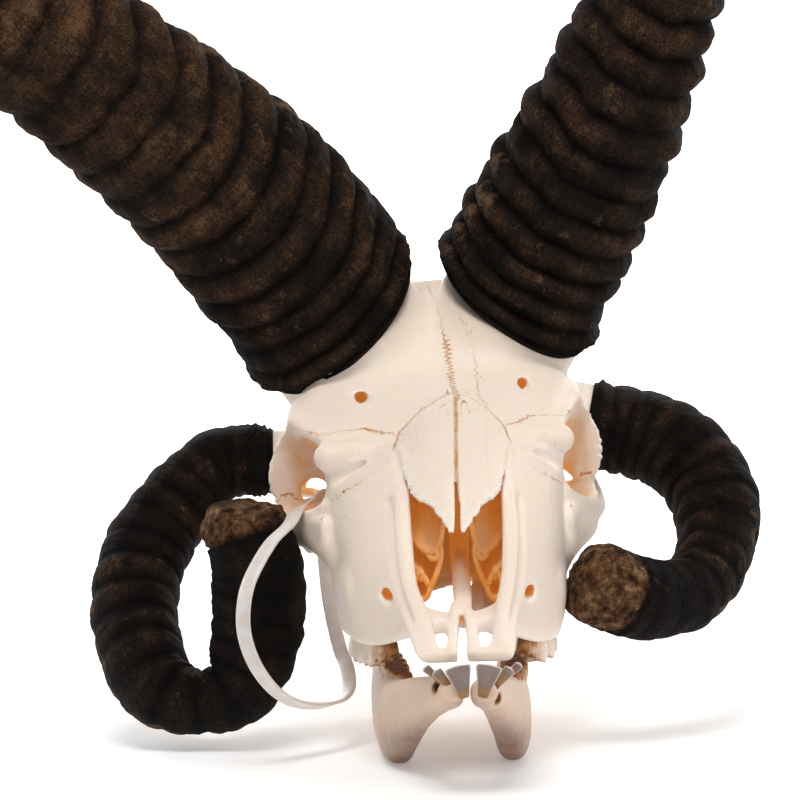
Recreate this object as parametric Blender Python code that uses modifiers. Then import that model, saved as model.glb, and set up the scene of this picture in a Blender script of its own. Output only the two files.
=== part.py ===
"""Skull of a four-horned ram: cranium, split lower jaw, horn sheaths, teeth and a nylon tie.

Sizes are in millimetres in the skull's own frame: y = 0 at the front of the upper jaw and y grows
towards the back of the head, z = 0 at the palate, +x is the skull's left. PALATE_ORIGIN moves that
frame so that the lower jaw stands on z = 0 with the skull centred over the origin.
"""
import bpy
import bmesh
import numpy as np
from mathutils import Matrix, Vector

MM = 0.001
PALATE_ORIGIN = np.array((81.3, -125.7, 47.0))
GROUND_Z = -47.0
SEAT_GAP = 0.3

BONE_VOXEL = 1.3
CRANIUM_TRIANGLES = 2450
JAW_TRIANGLES = 330

HORN_SEGMENTS = 11
RIDGED_SHARE = 0.75
SPIGOT_LENGTH = 8.0
SPIGOT_SHARE = 0.5

SIDES = {"left": 1, "right": -1}

# Half outlines (x, z) of the face and braincase at each y, from the top midline to the palate midline
HEAD_OUTLINES = {
    3: [(0, 2.5), (6, 2.5), (11, 2.2), (15, 1), (15.5, -0.5), (13, -3), (6, -3.5), (0, -3.5)],
    12: [(0, 3), (7, 3), (12, 3), (17, 2), (17.5, 0), (14.5, -3), (7, -3), (0, -2.5)],
    26: [(0, 9), (8, 9), (12.8, 9), (18.6, 6), (19.3, 1.5), (15.5, -3), (8, -2.5), (0, -2)],
    42: [(0, 18), (9, 18), (15, 17.5), (21.3, 13), (22.5, 4), (17.5, -4), (9, -3), (0, -2)],
    54: [(0, 27), (10, 27), (16.2, 27), (23, 21), (25, 8), (23, -5), (12, -4.5), (0, -2.5)],
    64: [(0, 36), (10, 36), (16.5, 36), (24.3, 27.5), (27.5, 10), (28, -5), (16, -5.5), (0, -3)],
    80: [(0, 48.5), (10, 48.5), (17.5, 48.5), (29, 35), (34.5, 14), (34, -5), (20, -6), (0, -3)],
    97: [(0, 60), (12, 60), (20, 59.5), (37, 45), (39.5, 20), (38, -4.5), (23, -6), (0, -3)],
    112: [(0, 68), (12, 67), (24, 64), (43, 55), (44, 30), (40, -4), (26, -5.5), (0, -3)],
    122: [(0, 75), (14, 73), (30, 69), (47, 60), (46, 35), (39.5, -3), (26, -5), (0, -2.5)],
    135: [(0, 80), (18, 79), (38, 74), (50, 67), (45, 40), (36, 2), (24, -3), (0, 6)],
    150: [(0, 87), (20, 85), (38, 81), (53, 75), (48, 50), (30, 18), (17, 8), (0, 11)],
    165: [(0, 98), (20, 97), (38, 92), (50, 80), (44, 55), (30, 28), (15, 14), (0, 12)],
    180: [(0, 111), (18, 111), (34, 104), (44, 85), (42, 62), (32, 36), (14, 16), (0, 13)],
    192: [(0, 118), (16, 117), (30, 108), (39, 88), (40, 66), (32, 40), (14, 17), (0, 13)],
    205: [(0, 115), (14, 113), (26, 104), (35, 86), (38, 66), (32, 42), (13, 17), (0, 13)],
    222: [(0, 98), (13, 96), (24, 88), (33, 74), (36, 58), (30, 38), (13, 16), (0, 12)],
    238: [(0, 74), (12, 72), (22, 65), (31, 55), (34, 44), (28, 28), (13, 15), (0, 11)],
    246: [(0, 50), (10, 49), (18, 44), (25, 36), (26, 28), (20, 20), (11, 14), (0, 11)],
}

# Half outlines of the nasal cavity, open above the front of the jaw
NASAL_CAVITY = {
    20: [(0, 30), (6, 30), (9.5, 24), (10.3, 14), (10.5, 6), (10, -1), (5, -8), (0, -8)],
    36: [(0, 40), (7, 40), (11, 32), (12, 22), (12, 14), (11, 6), (6, 3), (0, 2.5)],
    46: [(0, 50), (10, 50), (15, 38), (15.3, 28), (15.3, 19), (13, 13), (7, 9.5), (0, 8.5)],
    62: [(0, 60), (10, 60), (17, 48), (19, 36), (20.5, 20), (17.5, 10), (9, 5.5), (0, 5)],
    80: [(0, 64), (10, 64), (17.5, 56), (22.5, 46), (27, 26), (24, 9), (12, 3.5), (0, 2.5)],
    97: [(0, 57), (10, 57), (19, 54), (30, 42), (33, 22), (29, 8), (14, 2), (0, 1)],
    112: [(0, 62), (10, 61), (20, 58), (34, 46), (35, 26), (29, 8), (15, 1), (0, 0)],
    124: [(0, 66), (10, 65), (20, 60), (32, 48), (34, 26), (26, 8), (14, 0), (0, -0.5)],
    134: [(0, 60), (8, 58), (14, 52), (20, 42), (20, 26), (15, 8), (11, 2), (0, 0)],
}

# Nasal bones: (y, half width) of their edge and (y, z) of their ridge
NASAL_EDGE = [(47.5, 3.4), (52, 5.5), (58, 7.5), (65, 10.6), (72, 13.6), (80, 16.6), (86, 18.6),
              (92, 20), (100, 20.4), (108, 21), (116, 19), (122, 13), (127, 6), (130, 2)]
NASAL_RIDGE = [(40, 33.5), (48, 38), (58, 43), (72, 51), (86, 59), (100, 66.5), (112, 72), (125, 78.5),
               (135, 82.5)]
NASAL_ARCH = 0.0155
NASAL_THICKNESS = 3.0

# Horn sheaths: (x, y, z, half width) along the middle, from the base to the tip
HORNS = {
    "horn_upper_right": {
        "line": [(-38, 178, 109, 38.6), (-52.5, 174, 129.5, 37.2), (-68, 169, 148, 35),
                 (-83.5, 164, 165, 32.6), (-104, 158, 183, 30.4), (-124, 152, 199.5, 28.8),
                 (-145, 147, 216, 27), (-178, 146, 240, 23.6), (-212, 149, 262, 19.4),
                 (-244, 155, 280, 14.6), (-273, 163, 294, 9.4), (-297, 172, 303, 3.2)],
        "depth": 0.75, "lean": 33, "lean_tip": 12, "ring": (9.5, 19), "relief": (1.5, 1.9)},
    "horn_upper_left": {
        "line": [(28, 180, 111, 33.6), (43.5, 179, 140, 30.2), (56, 178, 163, 27.8),
                 (68.5, 176, 187, 25.8), (83, 173, 219, 22.8), (97, 171, 255, 20),
                 (109, 171, 291, 16.8), (119, 174, 326, 12.8), (127, 180, 359, 8.4), (132, 188, 386, 3)],
        "depth": 0.8, "lean": 30, "lean_tip": 8, "ring": (9, 15), "relief": (1.4, 1.6)},
    "horn_lower_left": {
        "line": [(57, 177, 65, 15.4), (74, 178, 62, 16.3), (90.5, 174, 54.5, 17), (102, 165, 40.5, 16.4),
                 (103.5, 152, 28, 15.3), (98, 135, 13.7, 12.8), (87.5, 120, 5.5, 12.2),
                 (72, 107, 4.4, 14), (57.4, 98, 10, 13.8), (47, 95, 14.5, 10.5)],
        "depth": 1.15, "lean": 10, "lean_tip": 0, "ring": (8, 12), "relief": (0.9, 0.7)},
    "horn_lower_right": {
        "line": [(-64, 177, 54.5, 12.4), (-84, 180, 54, 13.6), (-94, 178, 47, 14.4), (-107, 172, 33, 15.4),
                 (-115, 164, 18, 16.6), (-117.5, 155, 6, 15.2), (-116, 142, -9, 15.2),
                 (-111, 130, -21, 13.6), (-103.5, 124, -28.5, 11.8), (-91, 120, -31, 10.2),
                 (-78, 119, -25.5, 13), (-72, 120, -8.5, 16), (-70.5, 121, 13, 17.2),
                 (-72, 121, 28, 16), (-74, 122, 39.5, 13)],
        "depth": 1.15, "lean": 8, "lean_tip": 0, "ring": (8, 12), "relief": (0.9, 0.7)},
}

# Cheek teeth, front to back: length along the row, width across it
CHEEK_TEETH = [(7, 6), (8, 8), (9, 9.5), (12, 12), (14, 12.5), (15.5, 11.5)]
TOOTH_GAP = 0.9
UPPER_ROW = {"start": 62.0, "line": [(62, 22.5), (74, 27), (83, 30.3), (94, 33), (108, 34.3), (130, 33)],
             "root": -1.5, "crown": [-12, -13, -13.5, -13.5, -13.5, -13.5]}
LOWER_ROW = {"start": 55.0, "line": [(55, 18), (66, 19.6), (76, 20.4), (90, 21.2), (108, 22), (128, 23)],
             "root": -24, "crown": [-13.5, -14.4, -14.4, -14.4, -14.4, -14.4]}

# Incisors of the right half: middle of the cutting edge, middle of the neck, widths there, turn
INCISORS = [((-5.4, -5.4, -2.4), (-3.0, -1.4, -13.5), 8.4, 3.2),
            ((-11.4, -2.6, -4.4), (-6.2, 1.6, -13.0), 5.4, 2.4),
            ((-15.6, 1.0, -3.6), (-9.6, 5.6, -10.6), 4.4, 2.2)]
INCISOR_MIDLINE_X = 1.8

# One half of the lower jaw: y: (x, middle z, half height, half thickness)
JAW_BODY = {
    0: (5.2, -12, 3.4, 4.4), 6: (6.2, -14, 5.6, 5.2), 16: (8, -16.5, 7, 5.4), 28: (11, -19, 8.2, 5.4),
    42: (14.5, -23, 10, 5.8), 56: (18, -27.5, 12.5, 6.4), 72: (20, -31.5, 15.5, 6.8), 90: (21, -33, 15.6, 7),
    110: (21.8, -33, 15.2, 6.8), 130: (22.8, -31, 14.5, 6.2), 146: (23.5, -28.5, 17.5, 5.2),
    160: (24, -26, 19, 4), 172: (24.4, -25, 17, 2.6),
}
JAW_BRANCH = [(150, -41), (164, -49), (182, -49), (196, -40), (201, -18), (204, 10), (206.5, 26), (203, 33.5),
              (197, 34), (191, 27), (186, 33), (190, 43), (192, 48), (187, 49), (177, 42), (168, 24),
              (160, 4), (150, -16)]
JAW_BRANCH_X = 24.5
JAW_BRANCH_LEAN = 0.27
JAW_LEAN_START_Z = -28.0
JAW_BRANCH_THICKNESS = 4.4

# The nylon tie: middle of the strap and the direction its flat face looks
TIE_LINE = [(-44, 143, 44), (-50, 139, 41.5), (-55, 130, 39), (-56, 119, 38.5), (-58.5, 103, 35.5),
            (-65, 86, 30.5), (-72, 72, 19.5), (-74.5, 66, 9.5), (-74, 66, -1), (-70, 69, -12),
            (-63, 78, -22), (-54, 88, -27.5), (-43.5, 102, -29), (-38.5, 115, -26.5), (-38.5, 128, -20),
            (-41, 139, -14), (-44, 147, 0), (-45.5, 151, 14), (-45.5, 152, 28), (-42.5, 149, 39)]
TIE_WIDTH = 5.4
TIE_THICKNESS = 1.5
TIE_MIDDLE = (-52.0, 110.0, 8.0)


def clear_scene():
    for old in list(bpy.data.objects):
        bpy.data.objects.remove(old)


def new_collection(name):
    made = bpy.data.collections.new(name)
    bpy.context.scene.collection.children.link(made)
    return made


def material(name, colour, roughness):
    made = bpy.data.materials.new(name)
    made.use_nodes = True
    shader = made.node_tree.nodes["Principled BSDF"]
    shader.inputs["Base Color"].default_value = (*colour, 1.0)
    shader.inputs["Roughness"].default_value = roughness
    shader.inputs["Metallic"].default_value = 0.0
    return made


def add_object(name, mesh, home):
    made = bpy.data.objects.new(name, mesh)
    home.objects.link(made)
    return made


def mesh_from_bmesh(name, bm):
    bmesh.ops.recalc_face_normals(bm, faces=bm.faces)
    mesh = bpy.data.meshes.new(name)
    bm.to_mesh(mesh)
    bm.free()
    return mesh


def evaluated_mesh(obj):
    """The object's mesh with its modifiers applied, as a new mesh."""
    bpy.context.view_layer.update()
    graph = bpy.context.evaluated_depsgraph_get()
    return bpy.data.meshes.new_from_object(obj.evaluated_get(graph), depsgraph=graph)


def bake(obj):
    """Apply the object's modifiers and keep its name."""
    mesh = evaluated_mesh(obj)
    obj.modifiers.clear()
    obj.data = mesh


def smooth_line(points, steps):
    """Catmull-Rom curve through rows of numbers, with steps samples in each span."""
    rows = np.array(points, float)
    padded = np.vstack([2*rows[0] - rows[1], rows, 2*rows[-1] - rows[-2]])
    line = []
    for p0, p1, p2, p3 in zip(padded, padded[1:], padded[2:], padded[3:]):
        for t in np.arange(steps)/steps:
            line.append(0.5*(2*p1 + (p2 - p0)*t + (2*p0 - 5*p1 + 4*p2 - p3)*t*t
                             + (3*p1 - p0 - 3*p2 + p3)*t**3))
    line.append(rows[-1])
    return np.array(line)


def outline_between(outlines, y):
    """The half outline at y, on a smooth curve through the given ones."""
    stations = np.array(sorted(outlines), float)
    rows = np.array([outlines[s] for s in sorted(outlines)], float)
    slopes = np.gradient(rows, stations, axis=0)
    i = int(np.clip(np.searchsorted(stations, y) - 1, 0, len(stations) - 2))
    span = stations[i + 1] - stations[i]
    t = (y - stations[i])/span
    return ((2*t**3 - 3*t*t + 1)*rows[i] + (t**3 - 2*t*t + t)*span*slopes[i]
            + (3*t*t - 2*t**3)*rows[i + 1] + (t**3 - t*t)*span*slopes[i + 1])


def whole_ring(half, y):
    """Both sides of a half outline as one ring of points."""
    half = half.copy()
    half[:, 0] = np.maximum(half[:, 0], 0.0)
    right = [(-x, y, z) for x, z in half[-2:0:-1]]
    return [(x, y, z) for x, z in half] + right


def skin_rings(name, rings, home, closed=False):
    """Join rings of equal length into a closed skin, with a cap at each end unless it is a loop."""
    bm = bmesh.new()
    made = [[bm.verts.new(Vector(p)*MM) for p in ring] for ring in rings]
    pairs = list(zip(made, made[1:]))
    if closed:
        pairs.append((made[-1], made[0]))
    count = len(made[0])
    for low, high in pairs:
        for k in range(count):
            bm.faces.new((low[k], low[(k + 1) % count], high[(k + 1) % count], high[k]))
    if not closed:
        bm.faces.new(made[0])
        bm.faces.new(made[-1])
    bmesh.ops.triangulate(bm, faces=[f for f in bm.faces if len(f.verts) > 4])
    return add_object(name, mesh_from_bmesh(name, bm), home)


def loft(name, outlines, home, step=4.0):
    stations = sorted(outlines)
    count = int((stations[-1] - stations[0])/step)
    ys = sorted(set(np.linspace(stations[0], stations[-1], count)) | set(stations))
    rings = [whole_ring(outline_between(outlines, y), y) for y in ys]
    return skin_rings(name, rings, home)


def ball(name, centre, radii, home, segments=24):
    """An ellipsoid; radii is one number or one for each axis."""
    bm = bmesh.new()
    bmesh.ops.create_uvsphere(bm, u_segments=segments, v_segments=segments//2, radius=1.0)
    size = Matrix.Diagonal((*(np.array(radii, float)*np.ones(3)*MM), 1.0))
    bmesh.ops.transform(bm, matrix=Matrix.Translation(Vector(centre)*MM) @ size, verts=bm.verts)
    return add_object(name, mesh_from_bmesh(name, bm), home)


def rod(name, rows, home, flat=None, resolution=3):
    """A round bar through (x, y, z, radius) rows; flat = (direction, factor) thins it that way."""
    line = smooth_line(rows, 4)
    stretch = Matrix.Identity(4)
    if flat:
        direction, factor = flat
        stretch = Matrix.Scale(factor, 4, Vector(direction).normalized())
    curve = bpy.data.curves.new(name, "CURVE")
    curve.dimensions = "3D"
    curve.bevel_depth = 1.0
    curve.bevel_resolution = resolution
    curve.use_fill_caps = True
    spline = curve.splines.new("POLY")
    spline.points.add(len(line) - 1)
    for point, (x, y, z, radius) in zip(spline.points, line):
        point.co = (*(stretch @ (Vector((x, y, z))*MM)), 1.0)
        point.radius = radius*MM
    guide = bpy.data.objects.new(name, curve)
    bpy.context.scene.collection.objects.link(guide)
    mesh = evaluated_mesh(guide)
    bpy.data.objects.remove(guide)
    bm = bmesh.new()
    bm.from_mesh(mesh)
    bmesh.ops.remove_doubles(bm, verts=bm.verts, dist=1e-6)
    bmesh.ops.transform(bm, matrix=stretch.inverted(), verts=bm.verts)
    return add_object(name, mesh_from_bmesh(name, bm), home)


def plate(name, outline, x_at, thickness, home, steps=3):
    """A plate along y and z with this outline; x_at(y, z) is where its middle lies."""
    loop = smooth_line([outline[-1], *outline, outline[0], outline[1]], steps)[steps:-steps - 1]
    bm = bmesh.new()
    near = [bm.verts.new(Vector((x_at(y, z) - thickness/2, y, z))*MM) for y, z in loop]
    far = [bm.verts.new(Vector((x_at(y, z) + thickness/2, y, z))*MM) for y, z in loop]
    count = len(loop)
    for k in range(count):
        bm.faces.new((near[k], near[(k + 1) % count], far[(k + 1) % count], far[k]))
    caps = [bm.faces.new(near), bm.faces.new(far)]
    bmesh.ops.triangulate(bm, faces=caps)
    return add_object(name, mesh_from_bmesh(name, bm), home)


def fuse(name, pieces, home, voxel, triangles, cutters=(), rounds=2):
    """One skin round overlapping pieces, less the cutters, thinned to about this many triangles."""
    bm = bmesh.new()
    for piece in pieces:
        bm.from_mesh(piece.data)
        bpy.data.objects.remove(piece)
    mesh = bpy.data.meshes.new(name)
    bm.to_mesh(mesh)
    bm.free()
    whole = add_object(name, mesh, home)
    remesh = whole.modifiers.new("skin", "REMESH")
    remesh.mode = "VOXEL"
    remesh.voxel_size = voxel*MM
    relax = whole.modifiers.new("relax", "SMOOTH")
    relax.factor = 0.5
    relax.iterations = rounds
    bake(whole)
    for cutter in cutters:
        cut_away(whole, cutter)
    bake(whole)
    if triangles:
        thin_to(whole, triangles)
        keep_largest(whole)
    return whole


def keep_largest(obj):
    """Drop the specks that thinning can leave beside the main body."""
    bm = bmesh.new()
    bm.from_mesh(obj.data)
    waiting = set(bm.verts)
    bodies = []
    while waiting:
        edge = [waiting.pop()]
        body = set(edge)
        while edge:
            for link in edge.pop().link_edges:
                for vert in link.verts:
                    if vert not in body:
                        body.add(vert)
                        edge.append(vert)
        waiting -= body
        bodies.append(body)
    largest = max(bodies, key=len)
    specks = [v for v in bm.verts if v not in largest]
    bmesh.ops.delete(bm, geom=specks, context="VERTS")
    bm.to_mesh(obj.data)
    bm.free()


def thin_to(obj, triangles):
    obj.data.calc_loop_triangles()
    ratio = triangles/len(obj.data.loop_triangles)
    if ratio < 1.0:
        thin = obj.modifiers.new("thin", "DECIMATE")
        thin.ratio = ratio
        thin.use_collapse_triangulate = True
        bake(obj)


def cut_away(obj, cutter):
    cutter.hide_render = True
    cutter.display_type = "WIRE"
    cut = obj.modifiers.new(cutter.name, "BOOLEAN")
    cut.operation = "DIFFERENCE"
    cut.object = cutter
    cut.solver = "EXACT"


def join_on(obj, piece):
    """Unite a closed piece with the object and remove the loose copy."""
    union = obj.modifiers.new(piece.name, "BOOLEAN")
    union.operation = "UNION"
    union.object = piece
    union.solver = "EXACT"
    bake(obj)
    bpy.data.objects.remove(piece)


def nasal_bones(home):
    """The arched pair of nasal bones as a thickened sheet."""
    ys, widths = np.array(NASAL_EDGE).T
    ridge_y, ridge_z = np.array(NASAL_RIDGE).T
    rings = []
    for y in np.linspace(ys[0], ys[-1], 22):
        width = np.interp(y, ys, widths)
        xs = np.linspace(-width, width, 9)
        top = [(x, y, np.interp(y, ridge_y, ridge_z) - NASAL_ARCH*x*x) for x in xs]
        under = [(x, y, z - NASAL_THICKNESS) for x, y, z in reversed(top)]
        rings.append(top + under)
    return skin_rings("nasal_bones", rings, home)


def orbit_rim(s, home):
    roll = [(s*24, 119, 63.5, 4.5), (s*36, 119.5, 63, 6), (s*46, 120.5, 60, 6.5), (s*50, 123, 54, 4.5),
            (s*48.5, 124, 46, 3.5), (s*47, 124, 38, 3)]
    brow = [(s*46, 125, 68, 3), (s*52, 137, 73, 3.4), (s*54, 148, 75, 4)]
    bar = [(s*51, 147, 75, 4), (s*56, 152, 68, 8.5), (s*57.5, 156, 58, 8), (s*58.5, 156, 48, 6.5),
           (s*58, 153, 38, 5.5), (s*57, 147, 29, 4)]
    arch = [(s*44, 112, 24, 5), (s*49, 122, 27, 5), (s*55, 134, 27, 4.5), (s*58, 146, 28, 4.5),
            (s*60, 160, 32, 4.2), (s*60, 175, 34.5, 4), (s*58, 190, 40, 4.4), (s*50, 203, 45, 5),
            (s*38, 212, 48, 6)]
    front = [(s*46, 123, 44, 3), (s*46.5, 121, 34, 4), (s*46.5, 118, 25, 5)]
    return [rod("lacrimal_roll", roll, home),
            rod("brow", brow, home),
            rod("postorbital_bar", bar, home, flat=((s*0.35, -0.94, 0), 3.0)),
            rod("cheek_arch", arch, home, flat=((s, 0, 0), 1.4)),
            rod("orbit_front", front, home),
            ball("facial_tuber", (s*38, 97, 12), (4, 14, 6), home),
            ball("glenoid_shelf", (s*48, 200, 43), (11, 8, 4), home)]


def skull_base(s, home):
    """Condyle, hanging process, ear capsule and the palate's rear plate on one side."""
    condyle = [(s*6, 248, 14, 6), (s*13, 250, 20, 8), (s*16, 246, 28, 7)]
    process = [(s*27, 238, 24, 6), (s*28, 240, 8, 4.5), (s*27, 239, -6, 2.4)]
    rear_plate = [(124, 2), (140, -3), (156, -4), (166, 2), (172, 14), (160, 22), (136, 18), (124, 10)]
    return [rod("condyle", condyle, home),
            rod("hanging_process", process, home, flat=((0, 1, 0), 1.3)),
            ball("ear_capsule", (s*25, 218, 15), (8, 12, 9), home),
            rod("ear_canal", [(s*28, 216, 24, 5), (s*42, 217, 32, 4.5)], home),
            plate("palate_rear", rear_plate, lambda y, z: s*(15 + (y - 124)*0.02), 3.2, home)]


def turbinates(s, home):
    """The two scrolled plates that fill one side of the nose."""
    upper = [(s*16.5, 80, 41, 5), (s*17, 95, 46, 10), (s*16, 122, 54, 12)]
    lower = [(s*14, 66, 17, 3.0), (s*16, 86, 20, 5), (s*16, 122, 24, 6)]
    root = [(s*19, 72, 25, 6), (s*24, 92, 29, 11), (s*24, 122, 31, 12)]
    return [rod("upper_scroll", upper, home, flat=((1, 0, 0), 3.0)),
            rod("lower_scroll", lower, home, flat=((1, 0, 0), 1.3)),
            rod("scroll_root", root, home, flat=((0, 0, 1), 4.0))]


def front_slots(home):
    """The slits of the upper jaw's front: one each side and one between its middle bars."""
    slots = []
    for s in SIDES.values():
        slot = [(s*8 - 1, 10, 0, 2.2), (s*8 - 1, 20, 0, 2.8), (s*8 - 1, 30, 0, 2.8), (s*8 - 1, 37, 0, 2)]
        slots.append(rod("cut_palate_slit", slot, home, flat=((0, 0, 1), 0.4)))
    middle = [(-1.5, -2, 0, 2.0), (-1.5, 10, 0, 1.6), (-1.5, 24, 0, 1.2)]
    slots.append(rod("cut_middle_slit", middle, home, flat=((0, 0, 1), 0.25)))
    return slots


def middle_bars(home):
    return [rod("middle_bar", [(s*2.9 - 1.5, 2, 0.5, 1.9), (s*2.9 - 1.5, 14, 1, 1.7),
                               (s*2.7 - 1.5, 28, 4, 1.7), (s*1.5 - 1.5, 44, 8, 2.2)], home)
            for s in SIDES.values()]


def head_cutters(home):
    """Orbits, temples, nose, throat, braincase and the holes that a step away shows."""
    cutters = [loft("cut_nose", NASAL_CAVITY, home),
               ball("cut_throat_front", (0, 131, 6), (11.5, 24, 7.5), home),
               ball("cut_throat_rear", (0, 160, 2), (11, 40, 9), home),
               ball("cut_brain", (0, 212, 52), (21, 24, 22), home),
               rod("cut_foramen_magnum", [(0, 226, 36, 8), (0, 262, 30, 9)], home)]
    for s in SIDES.values():
        cutters.append(ball("cut_orbit", (s*52, 141, 49), (31, 19.5, 19.5), home))
        cutters.append(ball("cut_temple", (s*64, 182, 52), (22, 26, 30), home))
    return cutters + front_slots(home)


def head_pieces(home):
    """Everything that is added to the hollowed head."""
    vomer = [(-1, 47, 9, 3.6), (-1, 70, 13, 3.6), (0, 95, 22, 3.6), (0, 130, 37, 4)]
    pieces = [nasal_bones(home), rod("vomer", vomer, home, flat=((0, 0.4, -1), 1.6))]
    pieces += middle_bars(home)
    for s in SIDES.values():
        pieces += orbit_rim(s, home) + skull_base(s, home) + turbinates(s, home)
    pieces += [pedicle(name, home) for name in HORNS]
    return pieces


def build_cranium(parts, cutters, bone):
    """Hollow the head first, then add rims and arches, so that the cuts leave them whole."""
    core = loft("core", HEAD_OUTLINES, parts)
    core = fuse("core", [core], parts, BONE_VOXEL, None, head_cutters(cutters), rounds=0)
    cranium = fuse("cranium", [core, *head_pieces(parts)], parts, BONE_VOXEL, CRANIUM_TRIANGLES)
    for name in HORNS:
        cut_away(cranium, horn_clearance(name, cutters))
        bake(cranium)
        join_on(cranium, spigot(name, parts))
    cranium.data.materials.clear()
    cranium.data.materials.append(bone)
    return cranium


def horn_frames(horn, along):
    """Middle, half width and the three directions of the sheath at these distances from its base."""
    line = smooth_line(horn["line"], 12)
    steps = np.linalg.norm(np.diff(line[:, :3], axis=0), axis=1)
    travelled = np.concatenate([[0.0], np.cumsum(steps)])
    total = travelled[-1]
    frames = []
    for s in along:
        s = min(max(s, 0.0), total)
        middle = np.array([np.interp(s, travelled, line[:, k]) for k in range(4)])
        ahead = np.array([np.interp(min(s + 2, total), travelled, line[:, k]) for k in range(3)])
        behind = np.array([np.interp(max(s - 2, 0), travelled, line[:, k]) for k in range(3)])
        tangent = (ahead - behind)/np.linalg.norm(ahead - behind)
        across = np.cross(tangent, (0.0, 1.0, 0.0))
        across /= np.linalg.norm(across)
        deep = np.cross(across, tangent)
        if deep[1] < 0:
            deep = -deep
        lean = np.radians(np.interp(s/total, (0, 0.5, 1), (horn["lean"], horn["lean"]*0.75,
                                                          horn["lean_tip"])))
        deep = deep*np.cos(lean) + tangent*np.sin(lean)
        frames.append((middle[:3], middle[3], across, deep, tangent))
    return frames, total


def horn_ring(frame, depth, swell=0.0, share=1.0, segments=HORN_SEGMENTS):
    middle, half, across, deep, _ = frame
    turn = np.arange(segments)*2*np.pi/segments
    wide = (half + swell)*share
    return [middle + across*wide*np.cos(a) + deep*wide*depth*np.sin(a) for a in turn]


def ring_places(horn, total):
    """Distances of the crests: their spacing grows from the base and shrinks again to the tip."""
    near, far = horn["ring"]
    places = [near*0.6]
    while places[-1] < total*0.93:
        share = places[-1]/total
        places.append(places[-1] + near + (far - near)*np.sin(np.pi*min(share*1.15, 1.0)))
    return places[:-1]


def build_horn(name, parts, cutters, keratin):
    """A ridged sheath: a crest and a groove for every ring, seated on the pedicle's spigot."""
    horn = HORNS[name]
    _, total = horn_frames(horn, [0.0])
    crests = ring_places(horn, total)
    along, swells = [0.0], [0.0]
    for low, high in zip(crests, crests[1:] + [total*0.97]):
        fade = min(1.0, max(0.15, 1.0 - (low/total - 0.6)*2.4))
        along.append(low)
        swells.append(horn["relief"][0]*fade)
        if low < total*RIDGED_SHARE:
            along.append((low + high)/2)
            swells.append(-horn["relief"][1]*fade)
    along.append(total)
    swells.append(0.0)
    frames, _ = horn_frames(horn, along)
    rings = [horn_ring(f, horn["depth"], w) for f, w in zip(frames, swells)]
    sheath = skin_rings(name, rings, parts)
    cut_away(sheath, spigot(name, cutters, SEAT_GAP))
    bake(sheath)
    sheath.data.materials.clear()
    sheath.data.materials.append(keratin)
    return sheath


def base_stub(name, label, home, start, end, share, segments=16, swell=0.0):
    """A stub along the horn's base direction, from start to end, with the base's own section."""
    horn = HORNS[name]
    (middle, half, across, deep, tangent), = horn_frames(horn, [0.0])[0]
    rings = []
    for reach in (start, end):
        place = (middle + tangent*reach, half, across, deep, tangent)
        rings.append(horn_ring(place, horn["depth"], swell, share, segments))
    return skin_rings(label, rings, home)


def pedicle(name, home):
    upper = "upper" in name
    depth = 26 if upper else 16
    return base_stub(name, "pedicle", home, -depth, 5, 0.9 if upper else 0.92)


def horn_clearance(name, home):
    return base_stub(name, "cut_seat_" + name, home, -SEAT_GAP, 30, 1.1)


def spigot(name, home, gap=0.0):
    """The end of the bony core that the sheath sits on; with a gap it is the sheath's socket."""
    label = "cut_socket_" + name if gap else "spigot"
    return base_stub(name, label, home, -3, SPIGOT_LENGTH + gap, SPIGOT_SHARE, 12, gap/SPIGOT_SHARE)


def jaw_ring(s, y):
    """An upright oval section of one half of the lower jaw."""
    stations = sorted(JAW_BODY)
    x, z, tall, thick = (np.interp(y, stations, [JAW_BODY[k][i] for k in stations]) for i in range(4))
    ring = []
    for turn in np.arange(12)*np.pi/6:
        c, d = np.cos(turn), np.sin(turn)
        ring.append((s*(x + thick*np.sign(c)*abs(c)**0.8), y, z + tall*np.sign(d)*abs(d)**0.8))
    return ring


def jaw_branch_x(z):
    """The upright branch leans outwards above the body of the jaw."""
    return JAW_BRANCH_X + max(0.0, z - JAW_LEAN_START_Z)*JAW_BRANCH_LEAN


def build_jaw(side, parts, cutters, bone):
    s = SIDES[side]
    stations = sorted(JAW_BODY)
    ys = np.linspace(stations[0], stations[-1], 36)
    body = skin_rings("jaw_body", [jaw_ring(s, y) for y in ys], parts)
    branch = plate("jaw_branch", JAW_BRANCH, lambda y, z: s*jaw_branch_x(z), JAW_BRANCH_THICKNESS, parts)
    condyle = rod("jaw_condyle", [(s*39, 201, 33, 4), (s*51, 202, 34, 4)], parts)
    name = "mandible_" + side
    jaw = fuse(name, [body, branch, condyle], parts, BONE_VOXEL, JAW_TRIANGLES)
    floor = slab("cut_floor_" + side, (0, 100, GROUND_Z - 10), (200, 260, 20), cutters)
    cut_away(jaw, floor)
    middle = slab("cut_chin_" + side, (-s*10 + s*0.5, 40, -10), (20, 100, 60), cutters)
    cut_away(jaw, middle)
    bake(jaw)
    jaw.data.materials.clear()
    jaw.data.materials.append(bone)
    return jaw


def slab(name, centre, size, home):
    bm = bmesh.new()
    bmesh.ops.create_cube(bm, size=1.0)
    scale = Matrix.Diagonal((*(np.array(size, float)*MM), 1.0))
    bmesh.ops.transform(bm, matrix=Matrix.Translation(Vector(centre)*MM) @ scale, verts=bm.verts)
    return add_object(name, mesh_from_bmesh(name, bm), home)


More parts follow.
